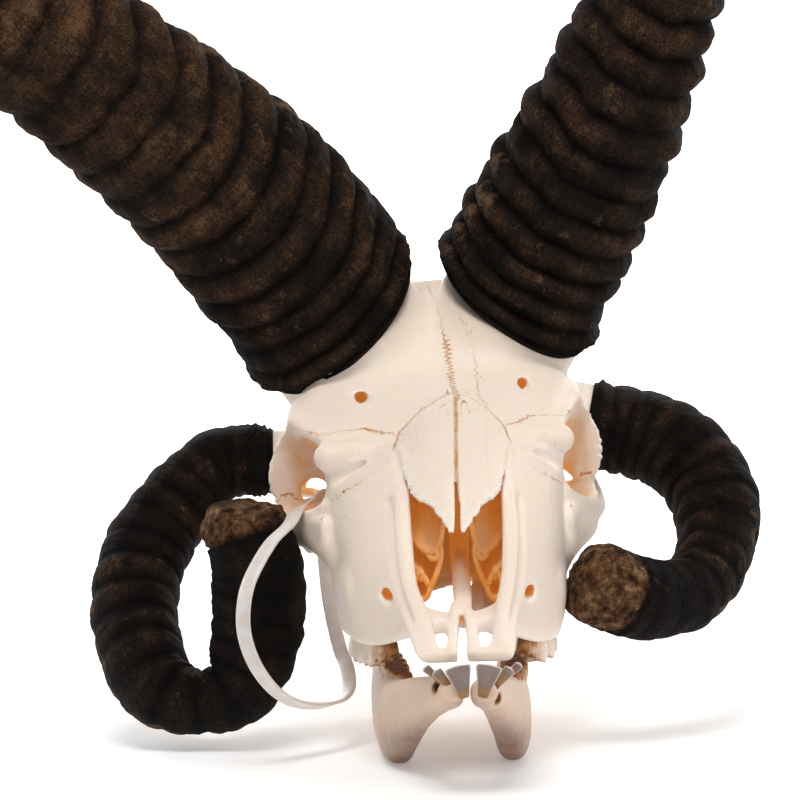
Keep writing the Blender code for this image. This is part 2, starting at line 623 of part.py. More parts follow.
def tooth_block(name, middle, ahead, length, width, root, crown, home):
    """A cheek tooth: two lobes with a waist between them, worn to a slope across the row."""
    along = np.array((*ahead, 0.0))
    across = np.array((-ahead[1], ahead[0], 0.0))
    outline = [(-1, -0.7), (-0.5, -1), (0, -0.78), (0.5, -1), (1, -0.7), (1, 0.7), (0, 0.82), (-1, 0.7)]
    rings = []
    for z, share in ((root, 1.0), (crown, 0.9)):
        rings.append([np.array((*middle, z)) + along*u*length/2*share + across*v*width/2*share
                      for u, v in outline])
    tip = np.sign(crown - root)
    for k, point in enumerate(rings[1]):
        point[2] -= tip*1.4*(1.0 if k in (0, 2, 4) else 0.0)
        point[2] -= tip*2.0*(1.0 if k >= 5 else 0.0)
    return skin_rings(name, rings, home)


def cheek_row(level, side, row, parts, enamel):
    s = SIDES[side]
    ys, xs = np.array(row["line"]).T
    teeth = []
    y = row["start"]
    for number, ((length, width), crown) in enumerate(zip(CHEEK_TEETH, row["crown"]), 1):
        centre_y = y + length/2
        x = np.interp(centre_y, ys, xs)
        lean = (np.interp(centre_y + 4, ys, xs) - np.interp(centre_y - 4, ys, xs))/8
        ahead = np.array((s*lean, 1.0))/np.hypot(lean, 1.0)
        if s < 0:
            ahead = -ahead
        name = f"tooth_{level}_{side}_{number}"
        tooth = tooth_block(name, (s*x, centre_y), ahead, length, width, row["root"], crown, parts)
        tooth.data.materials.append(enamel)
        teeth.append(tooth)
        y += length + TOOTH_GAP
    return teeth


def build_incisors(side, parts, enamel):
    """Spatula teeth that fan out from the chin."""
    s = SIDES[side]
    teeth = []
    for number, (edge, neck, wide, narrow) in enumerate(INCISORS, 1):
        edge, neck = np.array(edge), np.array(neck)
        down = (neck - edge)/np.linalg.norm(neck - edge)
        across = np.cross(down, (0.0, 1.0, 0.0))
        across /= np.linalg.norm(across)
        thick = np.cross(across, down)
        rings = []
        for share, width, depth in ((0.0, wide, 1.2), (0.5, wide*0.72, 2.2), (1.0, narrow, 2.6)):
            middle = edge + (neck - edge)*share
            rings.append([middle + across*u*width/2 + thick*v*depth/2
                          for u, v in ((-1, -0.6), (0, -1), (1, -0.6), (1, 0.7), (-1, 0.7))])
        rings = np.array(rings)*(-s, 1, 1) + (INCISOR_MIDLINE_X, 0, 0)
        tooth = skin_rings(f"incisor_{side}_{number}", rings, parts)
        tooth.data.materials.append(enamel)
        teeth.append(tooth)
    return teeth


def sockets(name, teeth, home):
    """All these teeth in one cutter, each grown by the seat gap."""
    bm = bmesh.new()
    for tooth in teeth:
        grown = bmesh.new()
        grown.from_mesh(tooth.data)
        grown.normal_update()
        shifts = [v.normal*v.calc_shell_factor()*SEAT_GAP*MM for v in grown.verts]
        for vert, shift in zip(grown.verts, shifts):
            vert.co += shift
        mesh = bpy.data.meshes.new("grown")
        grown.to_mesh(mesh)
        grown.free()
        bm.from_mesh(mesh)
    return add_object(name, mesh_from_bmesh(name, bm), home)


def build_tie(parts, nylon):
    """A closed flat strap through the orbit and round the cheek bone."""
    line = smooth_line([*TIE_LINE, *TIE_LINE[:3]], 2)[2:-4]
    rings = []
    for before, point, after in zip(np.roll(line, 1, 0), line, np.roll(line, -1, 0)):
        tangent = (after - before)/np.linalg.norm(after - before)
        outward = point - np.array(TIE_MIDDLE)
        outward -= tangent*outward.dot(tangent)
        outward /= np.linalg.norm(outward)
        flat = np.cross(tangent, outward)
        rings.append([point + flat*u*TIE_WIDTH/2 + outward*v*TIE_THICKNESS/2
                      for u, v in ((-1, -1), (1, -1), (1, 1), (-1, 1))])
    tie = skin_rings("nylon_tie", rings, parts, closed=True)
    tie.data.materials.append(nylon)
    return tie


def seat_on_ground(parts):
    """Move every piece from the skull's own frame to the ground frame."""
    shift = Matrix.Translation(Vector(PALATE_ORIGIN)*MM)
    for piece in parts.objects:
        piece.data.transform(shift)
        piece.data.update()


def main():
    clear_scene()
    parts = new_collection("four_horned_skull")
    cutters = new_collection("cutters")
    bone = material("bone", (0.78, 0.68, 0.54), 0.6)
    keratin = material("horn_keratin", (0.035, 0.026, 0.02), 0.55)
    enamel = material("tooth_enamel", (0.5, 0.43, 0.38), 0.35)
    nylon = material("tie_nylon", (0.8, 0.78, 0.82), 0.4)
    cranium = build_cranium(parts, cutters, bone)
    for name in HORNS:
        build_horn(name, parts, cutters, keratin)
    upper = []
    for side in SIDES:
        upper += cheek_row("upper", side, UPPER_ROW, parts, enamel)
    cut_away(cranium, sockets("cut_upper_sockets", upper, cutters))
    bake(cranium)
    for side in SIDES:
        jaw = build_jaw(side, parts, cutters, bone)
        lower = cheek_row("lower", side, LOWER_ROW, parts, enamel)
        front = build_incisors(side, parts, enamel)
        cut_away(jaw, sockets("cut_lower_sockets_" + side, lower + front, cutters))
        bake(jaw)
    build_tie(parts, nylon)
    seat_on_ground(parts)


main()
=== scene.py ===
"""Four-horned ram skull, dressed: bleached bone, dark horn sheaths, worn teeth and a nylon tie.

Sizes are in millimetres in the skull's own frame, as in the part's source: y = 0 at the front of
the upper jaw and growing backwards, z = 0 at the palate, +x the skull's left. ORIGIN moves that
frame onto the ground.
"""
import bpy
import bmesh
import numpy as np
from mathutils import Matrix, Vector


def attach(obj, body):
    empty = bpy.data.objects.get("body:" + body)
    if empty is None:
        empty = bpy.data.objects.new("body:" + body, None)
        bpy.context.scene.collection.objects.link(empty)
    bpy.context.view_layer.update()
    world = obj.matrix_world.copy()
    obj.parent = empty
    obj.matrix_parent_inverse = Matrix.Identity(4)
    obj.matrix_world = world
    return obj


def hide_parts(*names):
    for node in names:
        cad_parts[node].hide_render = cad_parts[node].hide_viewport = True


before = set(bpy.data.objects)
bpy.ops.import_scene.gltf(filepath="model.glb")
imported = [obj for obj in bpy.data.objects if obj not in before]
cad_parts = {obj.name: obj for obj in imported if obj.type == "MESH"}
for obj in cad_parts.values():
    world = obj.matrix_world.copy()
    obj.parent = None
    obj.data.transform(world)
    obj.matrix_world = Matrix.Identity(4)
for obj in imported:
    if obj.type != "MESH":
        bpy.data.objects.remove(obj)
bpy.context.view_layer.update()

MM = 0.001
ORIGIN = np.array((81.3, -125.7, 47.0))
GROUND_Z = -47.0
SIDES = {"left": 1, "right": -1}

HEAD_GRID = 0.9
JAW_GRID = 0.9
HEAD_TRIANGLES = 190000
JAW_TRIANGLES = 60000
SCROLL_THICKNESS = 1.3

# The sky value says how open a spot is, from 0 to 1. Its rays turn by the golden angle, and grime and
# painted shade on the jaw lower it no further than its floor. Seams aren't measured beyond their reach.
GOLDEN_ANGLE = 2.399963
SHADE_AND_GRIME_FLOOR = 0.19
SEAM_REACH = 12.0
KERATIN_DARKNESS = -1.76

# Half outlines (x, z) of face and braincase at each y, from the top midline to the palate midline
HEAD_OUTLINES = {
    2: [(0, 0.8), (6, 0.8), (11, 0.8), (14.6, 0.2), (15.6, -1), (13.4, -2.6), (6, -2.8), (0, -2.8)],
    12: [(0, 2.6), (7, 2.6), (11.5, 2.8), (15.8, 2.2), (16.8, 0.4), (14.6, -2), (7, -1.4), (0, -1.2)],
    26: [(0, 7), (7, 7), (11.5, 7.2), (16.6, 6.6), (18.2, 3.6), (15.4, 0.8), (8, 2.4), (0, 3)],
    42: [(0, 14), (8, 14), (13, 14.6), (18.6, 12.6), (20, 7), (17.6, 1), (9, 5), (0, 6)],
    54: [(0, 27), (10, 27), (15.6, 27), (21.6, 20), (24.2, 8), (22.5, -1.6), (12, 2.4), (0, 3.6)],
    64: [(0, 36), (10, 36), (16.5, 36), (23.6, 27), (28.5, 10), (28.5, -3.6), (16, -1), (0, 1.6)],
    80: [(0, 48.5), (10, 48.5), (17.5, 48.5), (27.5, 35), (35.5, 14), (35.5, -4.5), (20, -3.6), (0, -0.4)],
    97: [(0, 60), (12, 60), (20, 59.5), (34.5, 45), (39.5, 20), (38, -4.5), (23, -4.6), (0, -1.4)],
    112: [(0, 68), (12, 67), (24, 64), (38, 54), (42.5, 28), (40, -4), (26, -5), (0, -1.8)],
    122: [(0, 75), (14, 73), (28, 70), (41.5, 66), (44, 35), (39.5, -3), (26, -5), (0, -2.2)],
    135: [(0, 80), (18, 79), (36, 76.5), (46.5, 71.5), (45, 40), (36, 2), (24, -3), (0, 6)],
    150: [(0, 87), (20, 85.5), (38, 83.5), (51.5, 78), (49, 50), (30, 18), (17, 8), (0, 11)],
    165: [(0, 98), (20, 97), (38, 92), (50, 80), (44, 55), (30, 28), (15, 14), (0, 12)],
    180: [(0, 111), (18, 111), (34, 104), (44, 85), (42, 62), (32, 36), (14, 16), (0, 13)],
    192: [(0, 118), (16, 117), (30, 108), (39, 88), (40, 66), (32, 40), (14, 17), (0, 13)],
    205: [(0, 115), (14, 113), (26, 104), (35, 86), (38, 66), (32, 42), (13, 17), (0, 13)],
    222: [(0, 98), (13, 96), (24, 88), (33, 74), (36, 58), (30, 38), (13, 16), (0, 12)],
    238: [(0, 74), (12, 72), (22, 65), (31, 55), (34, 44), (28, 28), (13, 15), (0, 11)],
    246: [(0, 50), (10, 49), (18, 44), (25, 36), (26, 28), (20, 20), (11, 14), (0, 11)],
}
NASAL_CAVITY = {
    24: [(0, 30), (6, 30), (9, 24), (9.6, 18), (9.6, 13), (9, 9.6), (5, 8.4), (0, 8.2)],
    36: [(0, 40), (7, 40), (11, 32), (12, 22), (12.2, 15), (11, 11), (6, 9.8), (0, 9.6)],
    46: [(0, 50), (10, 50), (14.5, 38), (14.8, 28), (14.8, 19), (13, 12.6), (7, 9.6), (0, 8.6)],
    62: [(0, 60), (10, 60), (15.6, 48), (16.4, 36), (18.5, 20), (17.5, 10), (9, 5.8), (0, 5)],
    80: [(0, 64), (10, 64), (16.6, 56), (18.6, 46), (23, 26), (22, 9), (12, 4.5), (0, 3)],
    97: [(0, 57), (10, 57), (18, 54), (26, 42), (31, 22), (28, 8), (14, 2.6), (0, 1.4)],
    112: [(0, 62), (10, 61), (20, 58), (31, 46), (34, 26), (29, 8), (15, 1.4), (0, 0.4)],
    124: [(0, 66), (10, 65), (20, 60), (32, 48), (34, 26), (26, 8), (14, 0), (0, -0.5)],
    134: [(0, 60), (8, 58), (14, 52), (20, 42), (20, 26), (15, 8), (11, 2), (0, 0)],
}
# Nasal bones from above (y, half width), their middle (y, z) and the slit between their tips (y, x)
NASAL_EDGE = [(45.4, 1.9), (46.4, 2.8), (48.8, 3.8), (53, 5.2), (58, 7.2), (62, 8.8), (66, 11),
              (70.6, 14.4), (77, 16.4), (84, 18), (90, 19.4), (100, 20.4), (108, 21), (116, 19),
              (122, 13), (127, 6), (130, 2)]
NASAL_RIDGE = [(40, 33.5), (48, 38), (58, 43), (72, 51), (86, 59), (100, 66.5), (112, 72), (125, 78.5),
               (135, 82.5)]
NASAL_SLIT = [(45.4, 1.9), (47, 1.0), (50, 0.7), (58, 0.55), (75, 0.4), (84, 0.0)]
NASAL_ARCH = 0.0155

# Horn sheaths: (x, y, z, half width) along the middle, from the base to the tip. The rim is tilted by
# rim_tilt (at its middle, and more to one side), the rings turn up by kink (side, distance), and worn
# is where a keel is rubbed pale: from, to, angle round the horn and spread.
HORNS = {
    "horn_upper_right": {
        "line": [(-38, 178, 109, 37.6), (-52.5, 174, 129.5, 38.6), (-68, 169, 148, 37.2),
                 (-83.5, 164, 165, 35.6), (-104, 158, 183, 34), (-124, 152, 199.5, 32),
                 (-145, 147, 216, 29), (-178, 146, 240, 24.4), (-212, 149, 262, 19.4),
                 (-244, 155, 280, 14.6), (-273, 163, 294, 9.4), (-297, 172, 303, 3.2)],
        "depth": 0.75, "lean": 33, "lean_tip": 12, "ring": (9.5, 16.5), "rim_tilt": (1, -5.4),
        "kink": (-1, 9), "worn": (52, 116, 188, 16)},
    "horn_upper_left": {
        "line": [(28, 180, 111, 33.8), (43.5, 179, 140, 33), (56, 178, 163, 31.2),
                 (68.5, 176, 187, 29), (83, 173, 219, 25), (97, 171, 255, 21.4),
                 (109, 171, 291, 17.4), (119, 174, 326, 12.8), (126.4, 180, 359, 8.2), (131, 188, 386, 3)],
        "depth": 0.8, "lean": 30, "lean_tip": 8, "ring": (9, 14), "rim_tilt": (3, 4.6), "kink": (1, 6),
        "worn": (0, 60, 332, 14)},
    "horn_lower_left": {
        "line": [(57, 177, 65.4, 16.6), (74, 178, 62, 17), (90.5, 174, 54.8, 17.4), (102, 165, 41.4, 16.6),
                 (103.5, 152, 28.6, 15.6), (98, 135, 14, 12.9), (87.5, 120, 5.5, 12.7),
                 (72, 107, 4.4, 14.4), (57.4, 98, 9.8, 15.4), (48, 95, 13.4, 14.4), (42, 94, 16, 12.4)],
        "depth": 1.15, "lean": 10, "lean_tip": 0, "ring": (8, 12), "rim_tilt": (0, 0), "kink": (1, 0),
        "worn": (70, 140, 322, 13)},
    "horn_lower_right": {
        "line": [(-64, 177, 54.5, 12.4), (-84, 180, 54, 13.6), (-94, 178, 47, 14.4), (-107, 172, 33, 15.4),
                 (-115, 164, 18, 16), (-117.5, 155, 6, 15.6), (-116, 142, -9, 15.6),
                 (-111, 130, -21, 14.6), (-103.5, 124, -28.2, 12.8), (-91, 120, -29.8, 11),
                 (-78, 119, -24.5, 14), (-72, 120, -8.5, 16.4), (-70.2, 121, 13, 17.6),
                 (-72.6, 121, 28, 16.6), (-76, 122, 38, 15.4), (-76.6, 122, 44, 14)],
        "depth": 1.15, "lean": 8, "lean_tip": 0, "ring": (8, 12), "rim_tilt": (0, 0), "kink": (1, 0),
        "worn": (100, 152, 200, 15)},
}

# Cheek teeth, front to back: length along the row, width across it
CHEEK_TEETH = [(7, 5), (8, 6.4), (9, 7.6), (12, 9.6), (14, 10), (15.5, 9.6)]
TOOTH_GAP = 0.9
UPPER_ROW = {"start": 62.0, "line": [(62, 22), (74, 26), (83, 29), (94, 31.6), (108, 33), (130, 32)],
             "root": -1.5, "crown": [-8.5, -11, -13.5, -13.5, -13.5, -13.5], "brown": [0.55, 0.3, 0, 0, 0, 0]}
LOWER_ROW = {"start": 55.0, "line": [(55, 18), (66, 19.6), (76, 20.4), (90, 21.2), (108, 22), (128, 23)],
             "root": -24, "crown": [-13.5, -14.4, -14.4, -14.4, -14.4, -14.4],
             "brown": [0.5, 0.4, 0.4, 0.4, 0.4, 0.4]}
INCISORS = [((-5.4, -5.1, -2.4), (-3.0, -1.4, -13.5), 8.6, 3.2),
            ((-12.6, -2.2, -4.2), (-5.8, 1.6, -12.6), 3.8, 2.0),
            ((-16.0, 1.0, -3.4), (-9.0, 5.6, -10.4), 3.0, 1.8)]
INCISOR_MIDLINE_X = 1.8

JAW_BODY = {
    0: (5.2, -12, 3.4, 4.4), 6: (6.2, -13.6, 5, 5.2), 16: (8, -15, 5.8, 5.2), 28: (11, -17.6, 7.2, 5.2),
    42: (14.5, -22, 9.6, 5.6), 56: (18, -27.5, 12.5, 6.4), 72: (20, -31.5, 15.5, 6.8), 90: (21, -33, 15.6, 7),
    110: (21.8, -33, 15.2, 6.8), 130: (22.8, -31, 14.5, 6.2), 146: (23.5, -28.5, 17.5, 5.2),
    160: (24, -26, 19, 4), 172: (24.4, -25, 17, 2.6),
}
JAW_BRANCH = [(150, -41), (164, -49), (182, -49), (196, -40), (201, -18), (204, 10), (206.5, 26), (203, 33.5),
              (197, 34), (191, 27), (186, 33), (190, 43), (192, 48), (187, 49), (177, 42), (168, 24),
              (160, 4), (150, -16)]
JAW_BRANCH_X = 24.5
JAW_BRANCH_LEAN = 0.27
JAW_LEAN_START_Z = -28.0
JAW_HOOK_Z = 34.0
JAW_HOOK_LEAN = 0.35
JAW_SHIFT_X = -1.3

TIE_LINE = [(-44, 143, 44), (-50, 139, 41.5), (-55, 130, 39), (-56, 119, 38.5), (-58.5, 103, 35.5),
            (-65, 86, 30.5), (-72, 72, 19.5), (-74.5, 66, 9.5), (-74, 66, -1), (-70, 69, -12),
            (-63, 78, -22), (-54, 88, -27.5), (-43.5, 102, -29), (-38.5, 115, -26.5), (-38.5, 128, -20),
            (-41, 139, -14), (-44, 147, 0), (-45.5, 151, 14), (-45.5, 152, 28), (-42.5, 149, 39)]
TIE_WIDTH = 5.4
TIE_THICKNESS = 1.5
TIE_MIDDLE = (-52.0, 110.0, 8.0)

# The camera of the photograph, in the skull's frame
CAMERA_AT = (-45.8, -994.5, 127.7)
CAMERA_PITCH = 2.5
CAMERA_YAW = 1.5
CAMERA_ROLL = 1.5
CAMERA_LENS = 137.25


def place(points):
    """Points in the skull's millimetres, moved to the ground frame in metres."""
    return (np.asarray(points, float) + ORIGIN)*MM


def smooth_line(points, steps):
    """Catmull-Rom curve through rows of numbers, with steps samples in each span."""
    rows = np.array(points, float)
    padded = np.vstack([2*rows[0] - rows[1], rows, 2*rows[-1] - rows[-2]])
    line = []
    for p0, p1, p2, p3 in zip(padded, padded[1:], padded[2:], padded[3:]):
        for t in np.arange(steps)/steps:
            line.append(0.5*(2*p1 + (p2 - p0)*t + (2*p0 - 5*p1 + 4*p2 - p3)*t*t
                             + (3*p1 - p0 - 3*p2 + p3)*t**3))
    line.append(rows[-1])
    return np.array(line)


def ramp(value, low, high):
    """0 below low, 1 above high and a soft step between."""
    t = np.clip((value - low)/(high - low), 0.0, 1.0)
    return t*t*(3 - 2*t)


class Clay:
    """Signed distances on a grid: negative inside the bone. Shapes are added and cut with a soft blend."""

    def __init__(self, low, high, step):
        self.step = step
        self.low = np.array(low, float)
        count = np.ceil((np.array(high) - self.low)/step).astype(int) + 1
        self.depth = np.full(count, 20.0, np.float32)
        self.axes = [self.low[i] + step*np.arange(count[i]) for i in range(3)]

    def window(self, low, high, pad):
        spans = []
        for i in range(3):
            first = max(0, int((low[i] - pad - self.low[i])/self.step))
            last = min(self.depth.shape[i], int((high[i] + pad - self.low[i])/self.step) + 2)
            spans.append(slice(first, max(first, last)))
        axes = [self.axes[i][spans[i]] for i in range(3)]
        return tuple(spans), np.meshgrid(*axes, indexing="ij", sparse=True)

    def add(self, shape, blend=3.0, sign=1):
        low, high, distance = shape
        part, grid = self.window(low, high, blend + 3)
        here = self.depth[part]
        if here.size:
            self.depth[part] = sign*soft_least(sign*here, distance(*grid).astype(np.float32), blend)

    def cut(self, shape, blend=1.5):
        self.add(shape, blend, -1)

    def skin(self):
        """Vertices and four-sided faces of the surface where the distance is zero."""
        depth, inside = self.depth, self.depth < 0
        corners = [(i, j, k) for i in (0, 1) for j in (0, 1) for k in (0, 1)]
        nx, ny, nz = (n - 1 for n in depth.shape)
        eight = [inside[i:nx + i, j:ny + j, k:nz + k] for i, j, k in corners]
        crossed = np.logical_or.reduce(eight) & ~np.logical_and.reduce(eight)
        cells = np.argwhere(crossed)
        number = np.full(crossed.shape, -1, np.int32)
        number[tuple(cells.T)] = np.arange(len(cells))
        total, count = np.zeros((len(cells), 3)), np.zeros(len(cells))
        for a in corners:
            for axis in range(3):
                if a[axis]:
                    continue
                b = list(a)
                b[axis] = 1
                da = depth[tuple((cells + a).T)]
                db = depth[tuple((cells + b).T)]
                hit = (da < 0) != (db < 0)
                spot = np.tile(np.array(a, float), (len(cells), 1))
                spot[:, axis] += np.where(hit, da/(da - db + 1e-12), 0)
                total[hit] += spot[hit]
                count[hit] += 1
        points = (cells + total/count[:, None])*self.step + self.low
        faces = []
        for axis in range(3):
            near = [slice(None)]*3
            far = [slice(None)]*3
            near[axis], far[axis] = slice(0, -1), slice(1, None)
            edges = np.argwhere(inside[tuple(near)] != inside[tuple(far)])
            u, v = [i for i in range(3) if i != axis]
            keep = (edges[:, u] > 0) & (edges[:, v] > 0)
            keep &= (edges[:, u] < crossed.shape[u]) & (edges[:, v] < crossed.shape[v])
            edges = edges[keep]
            loop = []
            for du, dv in ((-1, -1), (0, -1), (0, 0), (-1, 0)):
                cell = edges.copy()
                cell[:, u] += du
                cell[:, v] += dv
                loop.append(number[tuple(cell.T)])
            quads = np.stack(loop, 1)
            starts_inside = inside[tuple(edges.T)]
            forward = starts_inside if axis != 1 else ~starts_inside
            quads[~forward] = quads[~forward][:, ::-1]
            faces.append(quads)
        return points, np.vstack(faces)


def soft_least(a, b, blend):
    """The lesser of two distances, with a fillet of about this many millimetres where they meet."""
    if blend <= 0:
        return np.minimum(a, b)
    h = np.clip(0.5 + 0.5*(b - a)/blend, 0, 1)
    return b*(1 - h) + a*h - blend*h*(1 - h)


def ball(centre, radii):
    """A shape is its low corner, its high corner and its distance function; this one is an ellipsoid."""
    centre = np.array(centre, float)
    radii = np.array(radii, float)*np.ones(3)

    def distance(x, y, z):
        u, v, w = (x - centre[0])/radii[0], (y - centre[1])/radii[1], (z - centre[2])/radii[2]
        reach = np.sqrt(u*u + v*v + w*w)
        slope = np.sqrt((u/radii[0])**2 + (v/radii[1])**2 + (w/radii[2])**2) + 1e-9
        return np.maximum(reach*(reach - 1)/slope, -radii.min())
    return centre - radii, centre + radii, distance


def rod(rows, flat=None, steps=4):
    """A round bar through (x, y, z, radius) rows; flat = (direction, factor) thins it that way."""
    line = smooth_line(rows, steps)
    points, radii = line[:, :3], line[:, 3]
    normal, factor = (0.0, 0.0, 1.0), 1.0
    if flat:
        normal, factor = flat
    normal = np.array(normal, float)/np.linalg.norm(normal)

    def distance(x, y, z):
        best = None
        for a, b, ra, rb in zip(points, points[1:], radii, radii[1:]):
            span = b - a
            span = span + normal*(span @ normal)*(factor - 1)
            dx, dy, dz = x - a[0], y - a[1], z - a[2]
            extra = (dx*normal[0] + dy*normal[1] + dz*normal[2])*(factor - 1)
            dx, dy, dz = dx + extra*normal[0], dy + extra*normal[1], dz + extra*normal[2]
            t = np.clip((dx*span[0] + dy*span[1] + dz*span[2])/(span @ span), 0, 1)
            ex, ey, ez = dx - span[0]*t, dy - span[1]*t, dz - span[2]*t
            here = (np.sqrt(ex*ex + ey*ey + ez*ez) - (ra + (rb - ra)*t))/np.sqrt(factor)
            best = here if best is None else np.minimum(best, here)
        return best
    return (points - radii[:, None]).min(0), (points + radii[:, None]).max(0), distance


def flat_distance(loop, a, b, closed=True):
    """Signed distance in a plane to an outline, negative inside it."""
    best = np.full(np.broadcast(a, b).shape, 1e9)
    inside = np.zeros(best.shape, bool)
    ends = np.roll(loop, -1, 0) if closed else loop[1:]
    for (pa, pb), (qa, qb) in zip(loop, ends):
        ea, eb = qa - pa, qb - pb
        t = np.clip(((a - pa)*ea + (b - pb)*eb)/(ea*ea + eb*eb + 1e-12), 0, 1)
        best = np.minimum(best, (a - pa - ea*t)**2 + (b - pb - eb*t)**2)
        straddles = (pb > b) != (qb > b)
        inside ^= straddles & (a < pa + (b - pb)/(eb + (1e-12 if eb >= 0 else -1e-12))*ea)
    best = np.sqrt(best)
    return np.where(inside, -best, best)


def outline_between(outlines, y):
    """The half outline at y, on a smooth curve through the given ones."""
    stations = np.array(sorted(outlines), float)
    rows = np.array([outlines[s] for s in sorted(outlines)], float)
    slopes = np.gradient(rows, stations, axis=0)
    i = int(np.clip(np.searchsorted(stations, y) - 1, 0, len(stations) - 2))
    span = stations[i + 1] - stations[i]
    t = (y - stations[i])/span
    return ((2*t**3 - 3*t*t + 1)*rows[i] + (t**3 - 2*t*t + t)*span*slopes[i]
            + (3*t*t - 2*t**3)*rows[i + 1] + (t**3 - t*t)*span*slopes[i + 1])


def rounded_half(half, steps=4):
    """A half outline made smooth, and square to the midline at both its ends."""
    mirrored = np.vstack([[-half[1, 0], half[1, 1]], half, [-half[-2, 0], half[-2, 1]]])
    line = smooth_line(mirrored, steps)[steps:-steps]
    line[:, 0] = np.maximum(line[:, 0], 0)
    return line


def loft(outlines):
    """A body with these half outlines from front to back, the same on both sides."""
    stations = sorted(outlines)
    every = np.array([outlines[s] for s in stations], float)
    low = np.array([-every[:, :, 0].max() - 1, stations[0], every[:, :, 1].min() - 1])
    high = np.array([every[:, :, 0].max() + 1, stations[-1], every[:, :, 1].max() + 1])

    def distance(x, y, z):
        result = np.empty(np.broadcast(x, y, z).shape, np.float32)
        across, up = np.broadcast_arrays(np.abs(x[:, 0, :]), z[:, 0, :])
        for j, here in enumerate(y[0, :, 0]):
            half = rounded_half(outline_between(outlines, np.clip(here, stations[0], stations[-1])))
            beyond = max(stations[0] - here, here - stations[-1])
            result[:, j, :] = np.maximum(flat_distance(half, across, up, False), beyond)
        return result
    return low, high, distance


def plate(outline, middle_at, half_thickness, axis, steps=4, ragged=0.0):
    """A bent plate: axis 0 lies along y and z, axis 1 along x and z; middle_at gives its third place."""
    loop = smooth_line([outline[-1], *outline, outline[0], outline[1]], steps)[steps:-steps - 1]
    middles = middle_at(loop[:, 0], loop[:, 1])
    low2, high2 = loop.min(0), loop.max(0)
    order = (0, 1, 2) if axis == 0 else (1, 0, 2)
    low = np.array([middles.min() - 9, low2[0], low2[1]])[list(order)]
    high = np.array([middles.max() + 9, high2[0], high2[1]])[list(order)]

    def distance(x, y, z):
        first = y[0] if axis == 0 else x[:, 0, :]
        second = z[0] if axis == 0 else z[:, 0, :]
        a, b = np.broadcast_arrays(first, second)
        off = np.abs((x, y)[axis] - np.expand_dims(middle_at(a, b), axis)) - half_thickness
        edge = flat_distance(loop, a, b) + ragged*np.sin(2.3*a)*np.sin(1.9*b)
        edge = np.broadcast_to(np.expand_dims(edge, axis), off.shape)
        outer = np.sqrt(np.maximum(off, 0)**2 + np.maximum(edge, 0)**2)
        return np.minimum(np.maximum(off, edge), 0) + outer
    return low, high, distance


def nasal_sheet():
    """The arched pair of nasal bones, thin, with a slit between their free tips."""
    edge_y, edge_x = np.array(NASAL_EDGE).T
    slit_y, slit_x = np.array(NASAL_SLIT).T
    ridge_y, ridge_z = np.array(NASAL_RIDGE).T

    def distance(x, y, z):
        across = np.abs(x)
        top = np.interp(y, ridge_y, ridge_z) - NASAL_ARCH*x*x + 0.5*np.sin(np.minimum(across, 16)*0.2)
        side = (across - np.interp(y, edge_y, edge_x) + 0.3*np.sin(y*1.4)*np.sin(y*0.6))*0.8
        side = np.maximum(side, (np.interp(y, slit_y, slit_x) - across)*0.9)
        side = np.maximum(side, 45.4 - y)
        half_thickness = 0.7 + 0.5*ramp(-side, 0.5, 6)
        off = np.abs(z - top + half_thickness)*0.88 - half_thickness
        outer = np.sqrt(np.maximum(off, 0)**2 + np.maximum(side, 0)**2)
        return np.minimum(np.maximum(off, side), 0) + outer
    return np.array([-24, 44, 28]), np.array([24, 131, 86]), distance


def ear_plate(s):
    """The dished plate behind the eye, with its thin ragged rim."""
    outline = [(36, 76), (46, 78), (53, 74), (59, 66.5), (62.6, 57), (62.4, 49), (60, 42.6), (60.8, 37),
               (57, 30), (50, 27), (42, 30), (36, 40), (34, 56)]
    outline = [(s*x, z) for x, z in outline]

    def middle_at(x, z):
        out = np.clip((np.abs(x) - 44)/22, 0, 1.2)
        high = np.clip((z - 62)/13, 0, 1.2)
        low = np.clip((42 - z)/14, 0, 1.2)
        return 158 - 12.5*out**1.7 - 7*high**1.5 - 7*low**1.5
    return plate(outline, middle_at, 1.2, 1, ragged=0.5)


